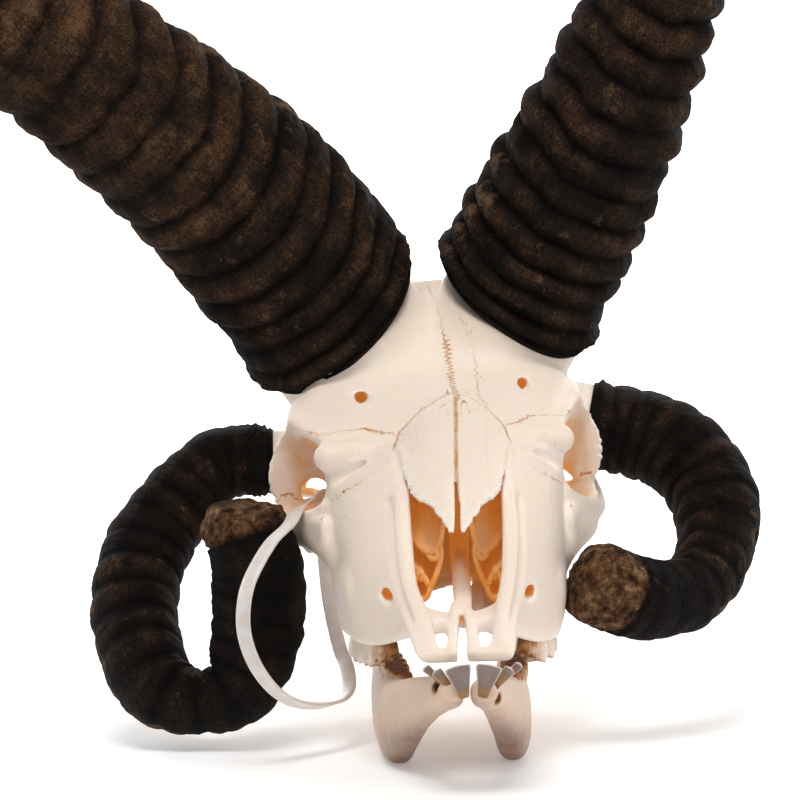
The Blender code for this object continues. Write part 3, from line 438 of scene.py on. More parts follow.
def eye_socket(clay, s):
    """Rims of the eye socket, the roll in front of it, and the cheek arch."""
    clay.add(ear_plate(s), 2.5)
    clay.add(rod([(s*42, 122, 66.4, 2.2), (s*46, 130, 69, 2.2), (s*48.6, 139, 71, 2.4),
                  (s*52, 149, 74.2, 3), (s*51.5, 158, 77, 3.6)]), 4)
    clay.add(rod([(s*25, 117, 62.6, 3), (s*33, 118, 62.6, 4), (s*38, 118.8, 61.8, 4.8),
                  (s*42.4, 119.6, 61, 5.4)]), 1.8)
    clay.cut(rod([(s*27, 110.4, 57.4, 1), (s*34, 112, 56.2, 2.2), (s*41.5, 115, 53.6, 2.6)]), 2)
    clay.add(rod([(s*41, 121, 55, 2.6), (s*40.6, 121.5, 50, 2), (s*42.6, 120.5, 43.4, 2.4)]), 2)
    clay.add(rod([(s*45, 117, 33, 6.4), (s*50, 127, 33, 6.2), (s*54.6, 138, 32.6, 5), (s*58, 146, 33, 3.6)],
                 flat=((s, 0, 0), 2.4)), 2.5)
    clay.add(rod([(s*43.5, 119, 41.5, 2.6), (s*50, 129, 37.6, 2.4), (s*55, 138, 36, 2.2),
                  (s*58.4, 145.4, 35.6, 2.2)]), 2.5)
    clay.add(rod([(s*42, 112, 23, 5), (s*48, 122, 27.5, 4.6), (s*53, 134, 29, 4.2), (s*56.6, 146, 30.5, 4.2),
                  (s*59, 160, 33, 4.2), (s*60, 175, 35, 4), (s*58.5, 190, 41, 4.2), (s*51, 203, 50, 4.6),
                  (s*39, 212, 54, 6)], flat=((s, 0, 0), 1.4)), 4)
    clay.add(ball((s*36.6, 97, 12), (3.6, 14, 7)), 4)
    clay.add(ball((s*49, 132, 24), (2.4, 3.2, 2.8)), 1.5)
    clay.add(ball((s*44.4, 119, 21.6), (2, 3, 2.4)), 1.5)
    clay.add(ball((s*49, 200, 40.2), (10, 8, 2)), 1.5)
    clay.cut(rod([(s*46.4, 140, 46.8, 4.6), (s*46.6, 160, 45.4, 4.8), (s*47, 184, 44, 5),
                  (s*46.6, 205, 43.6, 2.8)]), 1.5)


def upper_jaw_front(clay, s):
    """The bars beside the nose opening, the shallow groove outside them and the struts of the palate."""
    clay.add(rod([(s*18.6, 93, 52, 2.0), (s*18.7, 82, 46.6, 2.6), (s*18.8, 70, 38.6, 2.9),
                  (s*18.3, 58, 28, 3), (s*17, 47, 18, 2.8), (s*14.2, 35, 10, 3), (s*12.9, 26, 6.6, 2.9),
                  (s*12.3, 18, 4, 2.7), (s*11.8, 8, 1.2, 2.2)]), 1.4)
    clay.cut(rod([(s*23.4, 84, 45, 1.2), (s*23.6, 72, 36.4, 2.0), (s*23, 60, 26.8, 2.6),
                  (s*21.4, 48, 17, 2.4), (s*18.8, 38, 10.8, 1.8), (s*17.4, 28, 7.6, 1.1)]), 1.2)
    clay.add(rod([(s*3.6 - 1.3, 3, 0, 1.9), (s*3.2 - 0.7, 14, 2.6, 1.7), (s*2.9 - 0.1, 26, 6.6, 1.7),
                  (s*2.2, 36, 9.6, 1.9), (s*0.9, 45, 11, 2.4)]), 0.8)


def skull_rear(clay, s):
    """Condyle, hanging process, ear capsule and the palate's rear plate on one side."""
    clay.add(rod([(s*6, 248, 14, 6), (s*13, 249.4, 20, 7.8), (s*16, 246, 28, 7)]), 2)
    clay.add(rod([(s*27, 238, 24, 6), (s*28, 240, 8, 4.5), (s*27, 239, -6, 2.4)], flat=((0, 1, 0), 1.3)), 3)
    clay.add(ball((s*25, 218, 15), (8, 12, 9)), 2.5)
    clay.add(rod([(s*28, 216, 24, 5), (s*42, 217, 32, 4.5)]), 2.5)
    clay.add(plate([(124, 2), (140, -3), (156, -4), (166, 2), (172, 14), (160, 22), (136, 18), (124, 10)],
                   lambda y, z: s*(15 + (y - 124)*0.02), 1.5, 0), 2)


def horn_core(clay, name):
    """The bony core that carries a sheath, up to the rim of the horn."""
    horn = HORNS[name]
    (middle, half, across, deep, ahead), = horn_frames(horn, [0.0])[0]
    upper = "upper" in name
    depth = horn["depth"]*half
    reach = 26 if upper else 16
    side = across/np.linalg.norm(across)
    other = deep/np.linalg.norm(deep)
    basis = np.array((side, other, np.cross(side, other)))
    basis[2] *= np.sign(basis[2] @ ahead)
    low, high = middle - half*1.2 - reach, middle + half*1.2 + 8

    def distance(x, y, z):
        offs = [x - middle[0], y - middle[1], z - middle[2]]
        u, v, w = (sum(axis[i]*offs[i] for i in range(3)) for axis in basis)
        lean = ahead @ basis[2]
        slide = w/max(lean, 0.2)
        u = u - slide*(ahead @ basis[0])
        v = v - slide*(ahead @ basis[1])
        inner = np.sign(middle[0])*u/half if upper else 0.0
        share = 0.93 - 0.13*ramp(inner, 0.2, 1.0)
        round_off = (np.sqrt((u/half)**2 + (v/depth)**2) - share)*min(half, depth)
        return np.maximum(round_off, np.maximum(w - 2.5 + 3*ramp(inner, 0.0, 0.8), -w - reach))
    clay.add((low, high, distance), 6 if upper else 4)


def head_shell():
    """The whole cranium as one lump of clay: hollowed, then given its rims, bars and holes."""
    clay = Clay((-76, -4, -14), (76, 262, 130), HEAD_GRID)
    clay.add(loft(HEAD_OUTLINES), 0)
    for s in SIDES.values():
        clay.cut(ball((s*52, 141, 49), (31, 19.5, 19.5)), 3)
        clay.cut(ball((s*64, 182, 52), (22, 26, 30)), 4)
    clay.cut(loft(NASAL_CAVITY), 1)
    clay.cut(ball((0, 131, 6), (11.5, 24, 7.5)), 1.5)
    clay.cut(ball((0, 160, 2), (11, 40, 9)), 1.5)
    clay.cut(ball((0, 212, 52), (21, 24, 22)), 2)
    clay.cut(rod([(0, 226, 36, 8), (0, 262, 30, 9)]), 2)
    for s in SIDES.values():
        clay.cut(rod([(s*7 - 0.6, 9, 1.6, 0.8), (s*7.4 - 0.3, 16, 3.6, 2), (s*7.7 - 0.1, 22, 5.4, 2.6),
                      (s*8, 28, 7.2, 2.2)], flat=((0, 0, 1), 0.3)), 1)
    clay.cut(rod([(-1.3, -2, 0, 2.0), (-1.2, 8, 1, 1.6), (-0.6, 18, 4, 1.5), (0, 28, 7, 1.3),
                  (0.2, 35, 9, 0.9)], flat=((0, 0, 1), 0.25)), 0.6)
    clay.add(rod([(1.2, 47, 9.6, 3.2), (0.9, 70, 15, 3.4), (0.4, 95, 24, 3.6), (0, 130, 38, 4)],
                 flat=((0, 0.4, -1), 1.9)), 0.8)
    for name in HORNS:
        horn_core(clay, name)
    for s in SIDES.values():
        upper_jaw_front(clay, s)
        skull_rear(clay, s)
    # A low bridge between the upper horns, and two thin leaves behind the floor of the nose
    clay.add(rod([(-13, 187, 117.6, 3.6), (0, 190, 119, 3.4), (13, 187, 117.6, 3.6)]), 4)
    clay.add(rod([(10.5, 135, 10, 4.2), (9.4, 136.5, 4, 4.4), (9, 138, -1, 3.8)], flat=((0, 1, 0), 3)), 1)
    clay.add(rod([(-15, 137, 8.4, 4), (-7, 138, 10.6, 4), (0, 138, 13, 4)], flat=((0, 1, 0), 3)), 1)
    clay.add(nasal_sheet(), 0.6)
    for s in SIDES.values():
        eye_socket(clay, s)
    holes(clay)
    return clay


def holes(clay):
    """Nerve holes and the open crack beside the nasal bones."""
    for s in SIDES.values():
        clay.cut(rod([(s*30.4 + 1, 134, 81, 2.1), (s*30.4 + 1, 146, 81, 2.3), (s*30.2 + 1, 158, 80, 2),
                      (s*30, 166, 77, 1.4)]), 0.4)
        clay.cut(rod([(s*25.4, 52, 13, 2.6), (s*24.4, 62, 14, 2.3), (s*22.6, 80, 16, 2.2)]), 0.6)
        clay.cut(rod([(s*24.6, 113.5, 65.4, 1.0), (s*22.4, 108, 63.6, 1.2), (s*20.4, 102, 61.2, 1.1),
                      (s*20.6, 97, 58.6, 1.6), (s*19.4, 92, 56.4, 1.2), (s*19.8, 87, 53, 1.6),
                      (s*18.2, 82.5, 51.4, 1.3), (s*18.4, 77.5, 47.8, 1.9), (s*17.2, 72.5, 46, 1.4)],
                     steps=2), 0.1)


def lopsided(points):
    """The real skull is a little crooked: its ridge wanders and one side sits lower."""
    x, y, z = points.T
    middle = np.interp(y, [0, 30, 48, 60, 85, 108, 125, 150, 165, 172],
                       [0, 0, 0, 0.8, 1.8, 3.2, 4, 2, 0.8, 0])
    outer = np.interp(y, [100, 120, 150, 163, 172], [0, -1, -3.2, -1.5, 0])
    share = np.clip(np.abs(x)/45, 0, 1)
    tilt = np.interp(y, [40, 100, 118, 150, 172], [0, 0.02, 0.05, 0.06, 0])*ramp(z, 20, 50)
    droop = np.interp(y, [40, 110, 150, 172], [0, -0.02, -0.03, 0])*(1 - ramp(z, 20, 50))
    moved = points.copy()
    moved[:, 0] += middle*(1 - share)*ramp(z, -6, 8) + outer*share
    moved[:, 2] += (tilt + droop)*x
    return moved


def horn_frames(horn, along):
    """Middle, half width and the three directions of the sheath at these distances from its base."""
    line = smooth_line(horn["line"], 12)
    steps = np.linalg.norm(np.diff(line[:, :3], axis=0), axis=1)
    travelled = np.concatenate([[0.0], np.cumsum(steps)])
    total = travelled[-1]
    frames = []
    for s in along:
        s = min(max(s, 0.0), total)
        middle = np.array([np.interp(s, travelled, line[:, k]) for k in range(4)])
        ahead = np.array([np.interp(min(s + 2, total), travelled, line[:, k]) for k in range(3)])
        behind = np.array([np.interp(max(s - 2, 0), travelled, line[:, k]) for k in range(3)])
        tangent = (ahead - behind)/np.linalg.norm(ahead - behind)
        across = np.cross(tangent, (0.0, 1.0, 0.0))
        across /= np.linalg.norm(across)
        deep = np.cross(across, tangent)
        if deep[1] < 0:
            deep = -deep
        lean = np.radians(np.interp(s/total, (0, 0.5, 1), (horn["lean"], horn["lean"]*0.75,
                                                          horn["lean_tip"])))
        deep = deep*np.cos(lean) + tangent*np.sin(lean)
        frames.append((middle[:3], middle[3], across, deep, tangent))
    return frames, total


def ring_places(horn, total):
    """Distances of the crests: their spacing grows from the base and shrinks again to the tip."""
    near, far = horn["ring"]
    places = [near*0.6]
    while places[-1] < total*0.93:
        share = places[-1]/total
        places.append(places[-1] + near + (far - near)*np.sin(np.pi*min(share*1.15, 1.0)))
    return places[:-1]


def unit_circle(count):
    """Angles round a full turn, with their cosines and sines."""
    turn = np.arange(count)*2*np.pi/count
    return turn, np.cos(turn), np.sin(turn)


def put(name, data):
    """A new object in the scene."""
    made = bpy.data.objects.new(name, data)
    bpy.context.scene.collection.objects.link(made)
    return made


def new_mesh(name, points, faces):
    """A smooth-shaded object from points in the skull's millimetres."""
    mesh = bpy.data.meshes.new(name)
    mesh.from_pydata(place(points).tolist(), [], faces)
    mesh.shade_smooth()
    return put(name, mesh)


def face_outwards(obj):
    """Turn every face of a closed mesh outwards."""
    bm = bmesh.new()
    bm.from_mesh(obj.data)
    bmesh.ops.recalc_face_normals(bm, faces=bm.faces)
    bm.to_mesh(obj.data)
    bm.free()
    return obj


def skin_rings(name, rings, closed=False):
    """Rings of points joined into a skin; its ends are closed with a fan, or it is a loop."""
    rings = np.asarray(rings, float)
    rows, count = rings.shape[:2]
    points = list(rings.reshape(-1, 3))
    faces = []
    for i in range(rows if closed else rows - 1):
        low, high = i*count, ((i + 1) % rows)*count
        faces += [(low + k, low + (k + 1) % count, high + (k + 1) % count, high + k) for k in range(count)]
    if not closed:
        for row, centre in ((0, rings[0].mean(0)), (rows - 1, rings[-1].mean(0))):
            points.append(centre)
            faces += [(row*count + k, row*count + (k + 1) % count, len(points) - 1) for k in range(count)]
    return face_outwards(new_mesh(name, points, faces))


def settle(obj):
    """Bake the object's modifiers into its mesh."""
    bpy.context.view_layer.update()
    graph = bpy.context.evaluated_depsgraph_get()
    mesh = bpy.data.meshes.new_from_object(obj.evaluated_get(graph), depsgraph=graph)
    obj.modifiers.clear()
    obj.data = mesh
    mesh.shade_smooth()
    return obj


def bake(obj, kind, **settings):
    """Run one modifier on the object and bake it into its mesh."""
    modifier = obj.modifiers.new(kind.lower(), kind)
    for key, value in settings.items():
        setattr(modifier, key, value)
    return settle(obj)


def carve(clay, name, triangles):
    """The clay's skin as one smooth mesh of at most this many triangles."""
    points, quads = clay.skin()
    obj = largest_body(new_mesh(name, points, quads.tolist()))
    bake(obj, "SMOOTH", factor=0.5, iterations=1)
    obj.data.calc_loop_triangles()
    return bake(obj, "DECIMATE", ratio=min(1.0, triangles/len(obj.data.loop_triangles)))


def largest_body(obj):
    """Drop specks of clay that hang free beside the main body."""
    bm = bmesh.new()
    bm.from_mesh(obj.data)
    bm.verts.ensure_lookup_table()
    label = np.full(len(bm.verts), -1)
    bodies = []
    for seed in bm.verts:
        if label[seed.index] >= 0:
            continue
        body, edge = [], [seed]
        label[seed.index] = len(bodies)
        while edge:
            vert = edge.pop()
            body.append(vert)
            for link in vert.link_edges:
                other = link.other_vert(vert)
                if label[other.index] < 0:
                    label[other.index] = len(bodies)
                    edge.append(other)
        bodies.append(body)
    best = max(bodies, key=len)
    keep = label[best[0].index]
    bmesh.ops.delete(bm, geom=[v for v in bm.verts if label[v.index] != keep], context="VERTS")
    bm.to_mesh(obj.data)
    bm.free()
    return obj


def mesh_points(obj):
    """The vertices of an object in the skull's millimetres, and their normals."""
    mesh = obj.data
    points = np.empty(len(mesh.vertices)*3, np.float32)
    mesh.vertices.foreach_get("co", points)
    normals = np.empty(len(mesh.vertices)*3, np.float32)
    mesh.vertex_normals.foreach_get("vector", normals)
    return points.reshape(-1, 3)/MM - ORIGIN, normals.reshape(-1, 3).astype(float)


def move_points(obj, points):
    """Put the vertices of an object at these places in the skull's millimetres."""
    obj.data.vertices.foreach_set("co", place(points).astype(np.float32).ravel())
    obj.data.update()


def set_values(obj, name, values, kind="FLOAT"):
    """Store one number, or one vector, for each vertex."""
    layer = obj.data.attributes.new(name, kind, "POINT")
    field = "value" if kind == "FLOAT" else "vector"
    layer.data.foreach_set(field, np.asarray(values, np.float32).ravel())


def open_sky(clay, points, normals, reach=55.0, rays=40):
    """The share of the outward half-sphere that is open, lowered on an underside as painted shade."""
    solid = coarse_cells(clay)
    step = clay.step*2
    turn = np.arange(rays)*GOLDEN_ANGLE
    height = 1 - (np.arange(rays) + 0.5)/rays*2
    ring = np.sqrt(1 - height**2)
    rays_out = np.stack([ring*np.cos(turn), ring*np.sin(turn), height], 1)
    start = points + normals*step*1.3
    shape = np.array(solid.shape)
    flat = solid.ravel()
    total = np.zeros(len(points))
    weight = np.zeros(len(points))
    for ray in rays_out:
        facing = normals @ ray
        chosen = np.nonzero(facing > 0.08)[0]
        here = (start[chosen] - clay.low)/step
        free = np.ones(len(chosen), bool)
        for _ in range(int(reach/step/1.5)):
            here = here + ray*1.5
            cell = here.astype(np.int32)
            inside = np.all((cell >= 0) & (cell < shape), axis=1)
            cell = np.clip(cell, 0, shape - 1)
            blocked = flat[(cell[:, 0]*shape[1] + cell[:, 1])*shape[2] + cell[:, 2]] & inside
            free &= ~blocked
        total[chosen] += free*facing[chosen]
        weight[chosen] += facing[chosen]
    # Painted shade: an underside counts as less open, so its colour darkens
    painted_underside_shade = 0.45*np.clip(-normals[:, 2], 0, 1)
    return total/np.maximum(weight, 1e-6)*(1 - painted_underside_shade)


def even_out(obj, values, rounds):
    """Average a number with that of its neighbours on the mesh, this many times."""
    edges = np.empty(len(obj.data.edges)*2, np.int32)
    obj.data.edges.foreach_get("vertices", edges)
    first, second = edges.reshape(-1, 2).T
    count = len(values)
    near = 1 + np.bincount(first, minlength=count) + np.bincount(second, minlength=count)
    for _ in range(rounds):
        around = np.bincount(first, values[second], count) + np.bincount(second, values[first], count)
        values = (values + around)/near
    return values


def coarse_cells(clay, factor=2):
    """Solid cells of the clay on a grid that is this many times coarser."""
    inside = clay.depth < 0
    n = [m//factor*factor for m in inside.shape]
    cut = inside[:n[0], :n[1], :n[2]]
    cut = cut.reshape(n[0]//factor, factor, n[1]//factor, factor, n[2]//factor, factor)
    return cut.sum(axis=(1, 3, 5)) >= factor**3//2


def seam_distance(points, line):
    """Distance to a seam with a sign for its side, and the way travelled along it, in the x, z view."""
    line = np.array(line, float)
    best = np.full(len(points), 1e9)
    signed = np.full(len(points), 9.0)
    run = np.zeros(len(points))
    travelled = 0.0
    for a, b in zip(line, line[1:]):
        span = b - a
        length = np.linalg.norm(span)
        t = np.clip(((points - a) @ span)/(span @ span), 0, 1)
        gap = points - a - t[:, None]*span
        far = np.linalg.norm(gap, axis=1)
        side = np.sign(span[0]*gap[:, 2] - span[2]*gap[:, 0])
        nearer = far < best
        best[nearer] = far[nearer]
        signed[nearer] = (far*side)[nearer]
        run[nearer] = (travelled + t*length)[nearer]
        travelled += length
    signed[best > SEAM_REACH] = SEAM_REACH
    return signed, run


def nasal_top(x, y):
    """Height of the nasal bones' upper side."""
    ridge_y, ridge_z = np.array(NASAL_RIDGE).T
    return np.interp(y, ridge_y, ridge_z) - NASAL_ARCH*x*x


def mark_seams(obj, points):
    """Write how far each suture is, and the way along the crown's, for the bone material to draw."""
    mirrored = points.copy()
    mirrored[:, 0] = np.abs(mirrored[:, 0])
    seams = {
        "crown": (points, [(0, 126, 79), (0, 135, 81), (0.4, 150, 87.5), (0.6, 165, 98.5), (0, 180, 111),
                           (-2, 190, 117), (-4.5, 205, 115)]),
        "bridge": (points, [(0, y, nasal_top(0, y)) for y in (48, 60, 75, 90, 105, 115, 126)]),
        "nasal": (mirrored, [(x, y, nasal_top(x, y)) for y, x in reversed(NASAL_EDGE) if y >= 108]),
        "tear": (mirrored, [(24, 117, 68.5), (31, 124.5, 70), (38, 126, 70), (45, 127.5, 69),
                            (50, 131, 70.5)]),
        "cheek": (mirrored, [(27, 104, 55.5), (33, 105, 51), (39, 108, 47.5), (44, 112, 44),
                             (46, 114, 36)]),
        "malar": (mirrored, [(50, 157, 42), (57, 154, 44), (62, 150, 43.5), (66, 146, 46)]),
    }
    for label, (where, line) in seams.items():
        signed, run = seam_distance(where, line)
        set_values(obj, "seam_" + label, signed)
        if label == "crown":
            set_values(obj, "run_crown", run)


def build_cranium(bone):
    """Carve the cranium, shade and mark it while it's straight, then make it crooked."""
    clay = head_shell()
    head = carve(clay, "cranium_bone", HEAD_TRIANGLES)
    points, normals = mesh_points(head)
    set_values(head, "sky", even_out(head, open_sky(clay, points, normals), 8))
    mark_seams(head, points)
    move_points(head, lopsided(points))
    finish_piece(head, "bone", bone, "cranium")
    return clay


def finish_piece(obj, slot, material, *nodes):
    """Give a piece its material and body, and hide the nodes of the part that it stands for; slot is not
    used.
    """
    if material:
        obj.data.materials.clear()
        obj.data.materials.append(material)
    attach(obj, "root")
    if nodes:
        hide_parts(*nodes)


def add(tree, kind, sockets=(), out=0, **settings):
    """Add a node and give one of its outputs; sockets has values or links, in order or by name."""
    made = tree.nodes.new(kind)
    for key, value in settings.items():
        setattr(made, key, value)
    for key, value in sockets.items() if isinstance(sockets, dict) else enumerate(sockets):
        if isinstance(value, bpy.types.NodeSocket):
            tree.links.new(value, made.inputs[key])
        else:
            made.inputs[key].default_value = value
    return made.outputs[out] if made.outputs else None


def weighted(tree, total, *parts):
    """A first number plus patterns, each times its share."""
    for pattern, share in parts:
        total = add(tree, MATH, (pattern, share, total), operation="MULTIPLY_ADD")
    return total


def colour(code):
    """A linear colour from sRGB hex."""
    parts = [int(code[i:i + 2], 16)/255 for i in (1, 3, 5)]
    return tuple(p/12.92 if p <= 0.04045 else ((p + 0.055)/1.055)**2.4 for p in parts) + (1.0,)


def blank_material(name):
    made = bpy.data.materials.new(name)
    made.use_nodes = True
    made.node_tree.nodes.clear()
    return made, made.node_tree


def set_stops(ramp_output, stops):
    """Give a colour ramp these stops, each a place and a hex colour."""
    elements = ramp_output.node.color_ramp.elements
    while len(elements) < len(stops):
        elements.new(0.5)
    for element, (spot, code) in zip(elements, stops):
        element.position = spot
        element.color = colour(code)
    return ramp_output


# Kinds of node. A Map Range takes the value, from low, from high, to low and to high, in this order
MATH = "ShaderNodeMath"
RANGE = "ShaderNodeMapRange"
NOISE = "ShaderNodeTexNoise"
ATTRIBUTE = "ShaderNodeAttribute"
COORDINATES = "ShaderNodeTexCoord"
MAPPING = "ShaderNodeMapping"
COLOUR_RAMP = "ShaderNodeValToRGB"
MIX = "ShaderNodeMix"
BUMP = "ShaderNodeBump"
SHADER = "ShaderNodeBsdfPrincipled"
SURFACE = "ShaderNodeOutputMaterial"
VECTOR_MATH = "ShaderNodeVectorMath"
STORED = "GeometryNodeInputNamedAttribute"

# Tones by how open a spot is. Deep orange in the hollows is partly stain and partly painted shade and bounce
# light; the head's most open spots are painted a little darker as shade, and the jaw's low mauve grey is
# painted shade with grime
HEAD_TONES = [(0.0, "#a85a16"), (0.06, "#d9933c"), (0.15, "#e9bf88"), (0.28, "#f4dabb"), (0.4, "#fcefe4"),
              (0.62, "#fcf0e5"), (0.82, "#f5e6d7"), (1.0, "#f0dfce")]
SCROLL_TONES = [(0.0, "#c47a28"), (0.12, "#dc9c4c"), (0.3, "#ecbb80"), (0.55, "#f3cfa2"), (1.0, "#f4d8b4")]
JAW_TONES = [(0.0, "#cf8a35"), (0.08, "#c07c3c"), (0.15, "#94705a"), (0.26, "#a38b7f"), (0.4, "#b8a090"),
             (0.55, "#d0b6a0"), (0.72, "#dec3ac"), (1.0, "#e3cab5")]

# Each suture: how far it zigzags and the half width of its line, in mm
SEAM_LINES = {"seam_crown": (3.0, 0.5), "seam_bridge": (0.7, 0.42), "seam_nasal": (1.8, 0.24),
              "seam_tear": (3.4, 0.4), "seam_cheek": (2.6, 0.24), "seam_malar": (2.2, 0.22)}


def bone_material(name, tones, has_seams, glow, glow_reach=0.3):
    """Bleached bone: chalky ivory, with a painted warm glow in its depths and deep orange inside its hollows,
    partly stain and partly painted shade.
    """
    made, tree = blank_material(name)
    spot = add(tree, COORDINATES, out="Object")
    sky = add(tree, ATTRIBUTE, out="Fac", attribute_name="sky")
    # Broad stains 30 mm across, a mottle of 4 mm and pores of 0.7 mm, as coarse as they need to show
    stain, mottle, pores = (add(tree, NOISE, {"Vector": spot, "Scale": scale, "Detail": detail})
                            for scale, detail in ((35.0, 3.0), (260.0, 4.0), (1500.0, 3.0)))
    # Half the shares of the patterns is taken off, so that they lighten as much as they darken
    open_share = weighted(tree, -0.23, (sky, 1.0), (stain, 0.24), (mottle, 0.22))
    # The ramp paints shade by openness: darker and more orange where a spot is closed in
    shade = set_stops(add(tree, COLOUR_RAMP, (open_share,)), tones)
    # Painted glow: the depths emit a warm light, standing in for light let through thin walls
    painted_glow = add(tree, RANGE, (open_share, 0.02, glow_reach, glow, 0.0))
    # A faint lengthwise grain, 1 mm wide
    stretch = add(tree, MAPPING, {"Vector": spot, "Scale": (900.0, 120.0, 120.0)})
    grain = add(tree, NOISE, {"Vector": stretch, "Scale": 1.0, "Detail": 2.0})
    height = weighted(tree, grain, (pores, 0.5))
    if has_seams:
        # Sutures wobble every 1.5 mm and fade in and out over 6 mm; the crown's also weaves to and fro
        wobble, drift = (add(tree, NOISE, {"Vector": spot, "Scale": scale, "Detail": detail})
                         for scale, detail in ((650.0, 3.0), (160.0, 1.0)))
        seams = 0.0
        for seam, (zigzag, width) in SEAM_LINES.items():
            off = add(tree, ATTRIBUTE, out="Fac", attribute_name=seam)
            if seam == "seam_crown":
                run = add(tree, ATTRIBUTE, out="Fac", attribute_name="run_crown")
                wave = add(tree, MATH, (weighted(tree, run, (drift, 3.0)), 1.1), operation="PINGPONG")
                off = weighted(tree, off, (wave, 2.2))
            off = weighted(tree, -zigzag/2, (off, 1.0), (wobble, zigzag))
            off = add(tree, MATH, (off,), operation="ABSOLUTE")
            line = add(tree, RANGE, (off, width*0.5, width*2.4, 1.0, 0.0))
            seams = add(tree, MATH, (seams, line), operation="MAXIMUM")
        gaps = add(tree, RANGE, (drift, 0.4, 0.58, 0.7, 1.0))
        strength = add(tree, MATH, (seams, gaps), operation="MULTIPLY")
        shade = add(tree, MIX, {0: strength, 6: shade, 7: colour("#cc8a42")}, 2, data_type="RGBA")
        height = weighted(tree, height, (strength, -3.0))
    bump = add(tree, BUMP, {"Strength": 0.5, "Distance": 0.0004, "Height": height})
    shader = add(tree, SHADER, {
        "Base Color": shade, "Roughness": 0.55, "IOR": 1.5, "Specular IOR Level": 0.25,
        "Subsurface Weight": 0.3, "Subsurface Radius": (1.0, 0.5, 0.22), "Subsurface Scale": 0.004,
        "Emission Color": colour("#e69c42"), "Emission Strength": painted_glow, "Normal": bump})
    add(tree, SURFACE, {"Surface": shader})
    return made


def keratin_material(name, tip_length, sleeve_length, lift):
    """Dry horn sheath: near-black keratin with lengthwise fibres, browner on its crests than in its grooves
    as painted shade, and rubbed tan on its crests.
    """
    made, tree = blank_material(name)
    lay = add(tree, ATTRIBUTE, out="Vector", attribute_name="lay")
    cushion, edge, tip, base = (add(tree, ATTRIBUTE, out="Fac", attribute_name=label)
                                for label in ("cushion", "edge", "tip", "base"))
    # Patterns on the straightened horn, each with its waves to the millimetre round and along it: fibres
    # 0.8 mm apart that run 5 mm, a short grain, brown blotches 14 mm across, rubbed specks of 6 mm,
    # creases 1 mm apart across the horn, cracks along it and grit
    fibre, grain, blotch, speck, crease, crack, grit = (
        add(tree, NOISE, {"Vector": add(tree, MAPPING, {"Vector": lay, "Scale": (around, around, along)}),
                          "Scale": 1.0, "Detail": detail, "Roughness": roughness})
        for around, along, detail, roughness in (
            (1.3, 0.2, 6.0, 0.75), (1.7, 1.1, 5.0, 0.8), (0.07, 0.06, 5.0, 0.65), (0.16, 0.14, 3.0, 0.6),
            (0.09, 1.0, 5.0, 0.7), (2.6, 0.22, 5.0, 0.7), (1.1, 1.1, 4.0, 0.5)))
    rise = add(tree, RANGE, (base, 10.0, 130.0, KERATIN_DARKNESS, KERATIN_DARKNESS + lift))
    # Painted shade: the cushion share keeps the raised rings browner and leaves the grooves between them dark
    brown = weighted(tree, rise, (fibre, 0.8), (grain, 1.6), (blotch, 1.3), (cushion, 0.4))
    shade = set_stops(add(tree, COLOUR_RAMP, (brown,)), [
        (0.0, "#070504"), (0.22, "#130d0a"), (0.45, "#281b13"), (0.7, "#4b3422"), (1.0, "#7d5c3e")])
    # Painted shade: the creases are drawn near black
    crease_shade = add(tree, RANGE, (crease, 0.38, 0.5, 0.45, 0.0))
    # Tan wear: on the keel, and in a few spots on the crests
    rub = weighted(tree, 0.0, (speck, 1.5), (edge, 0.34), (cushion, 0.2), (grain, 0.8))
    worn = add(tree, RANGE, (rub, 1.5, 1.9, 0.0, 0.75))
    layers = [(crease_shade, colour("#080504")), (worn, colour("#8b6c50"))]
    if tip_length:
        near_tip = add(tree, RANGE, (tip, tip_length + 1.0, tip_length - 1.0, 0.0, 1.0))
        # Crust with knobs of 4 mm
        spot = add(tree, COORDINATES, out="Object")
        crumbs = add(tree, NOISE, {"Vector": spot, "Scale": 230.0, "Detail": 6.0, "Roughness": 0.7})
        layers.append((near_tip, set_stops(add(tree, COLOUR_RAMP, (crumbs,)), [
            (0.36, "#21150d"), (0.46, "#513420"), (0.55, "#7a5638"), (0.68, "#b08f68")])))
    near_base = add(tree, RANGE, (base, sleeve_length + 1.5, sleeve_length - 1.0, 0.0, 0.85))
    layers.append((near_base, colour("#120f0e")))
    for cover, top in layers:
        shade = add(tree, MIX, {0: cover, 6: shade, 7: top}, 2, data_type="RGBA")
    height = weighted(tree, 0.0, (crack, 1.5), (grit, 0.7), (fibre, 1.0), (grain, 0.8), (crease, 1.0))
    bump = add(tree, BUMP, {"Strength": 0.9, "Distance": 0.0012, "Height": height})
    rough = add(tree, RANGE, (fibre, 0.0, 1.0, 0.6, 0.9))
    shader = add(tree, SHADER, {
        "Base Color": shade, "Roughness": rough, "IOR": 1.54, "Specular IOR Level": 0.1, "Normal": bump})
    add(tree, SURFACE, {"Surface": shader})
    return made


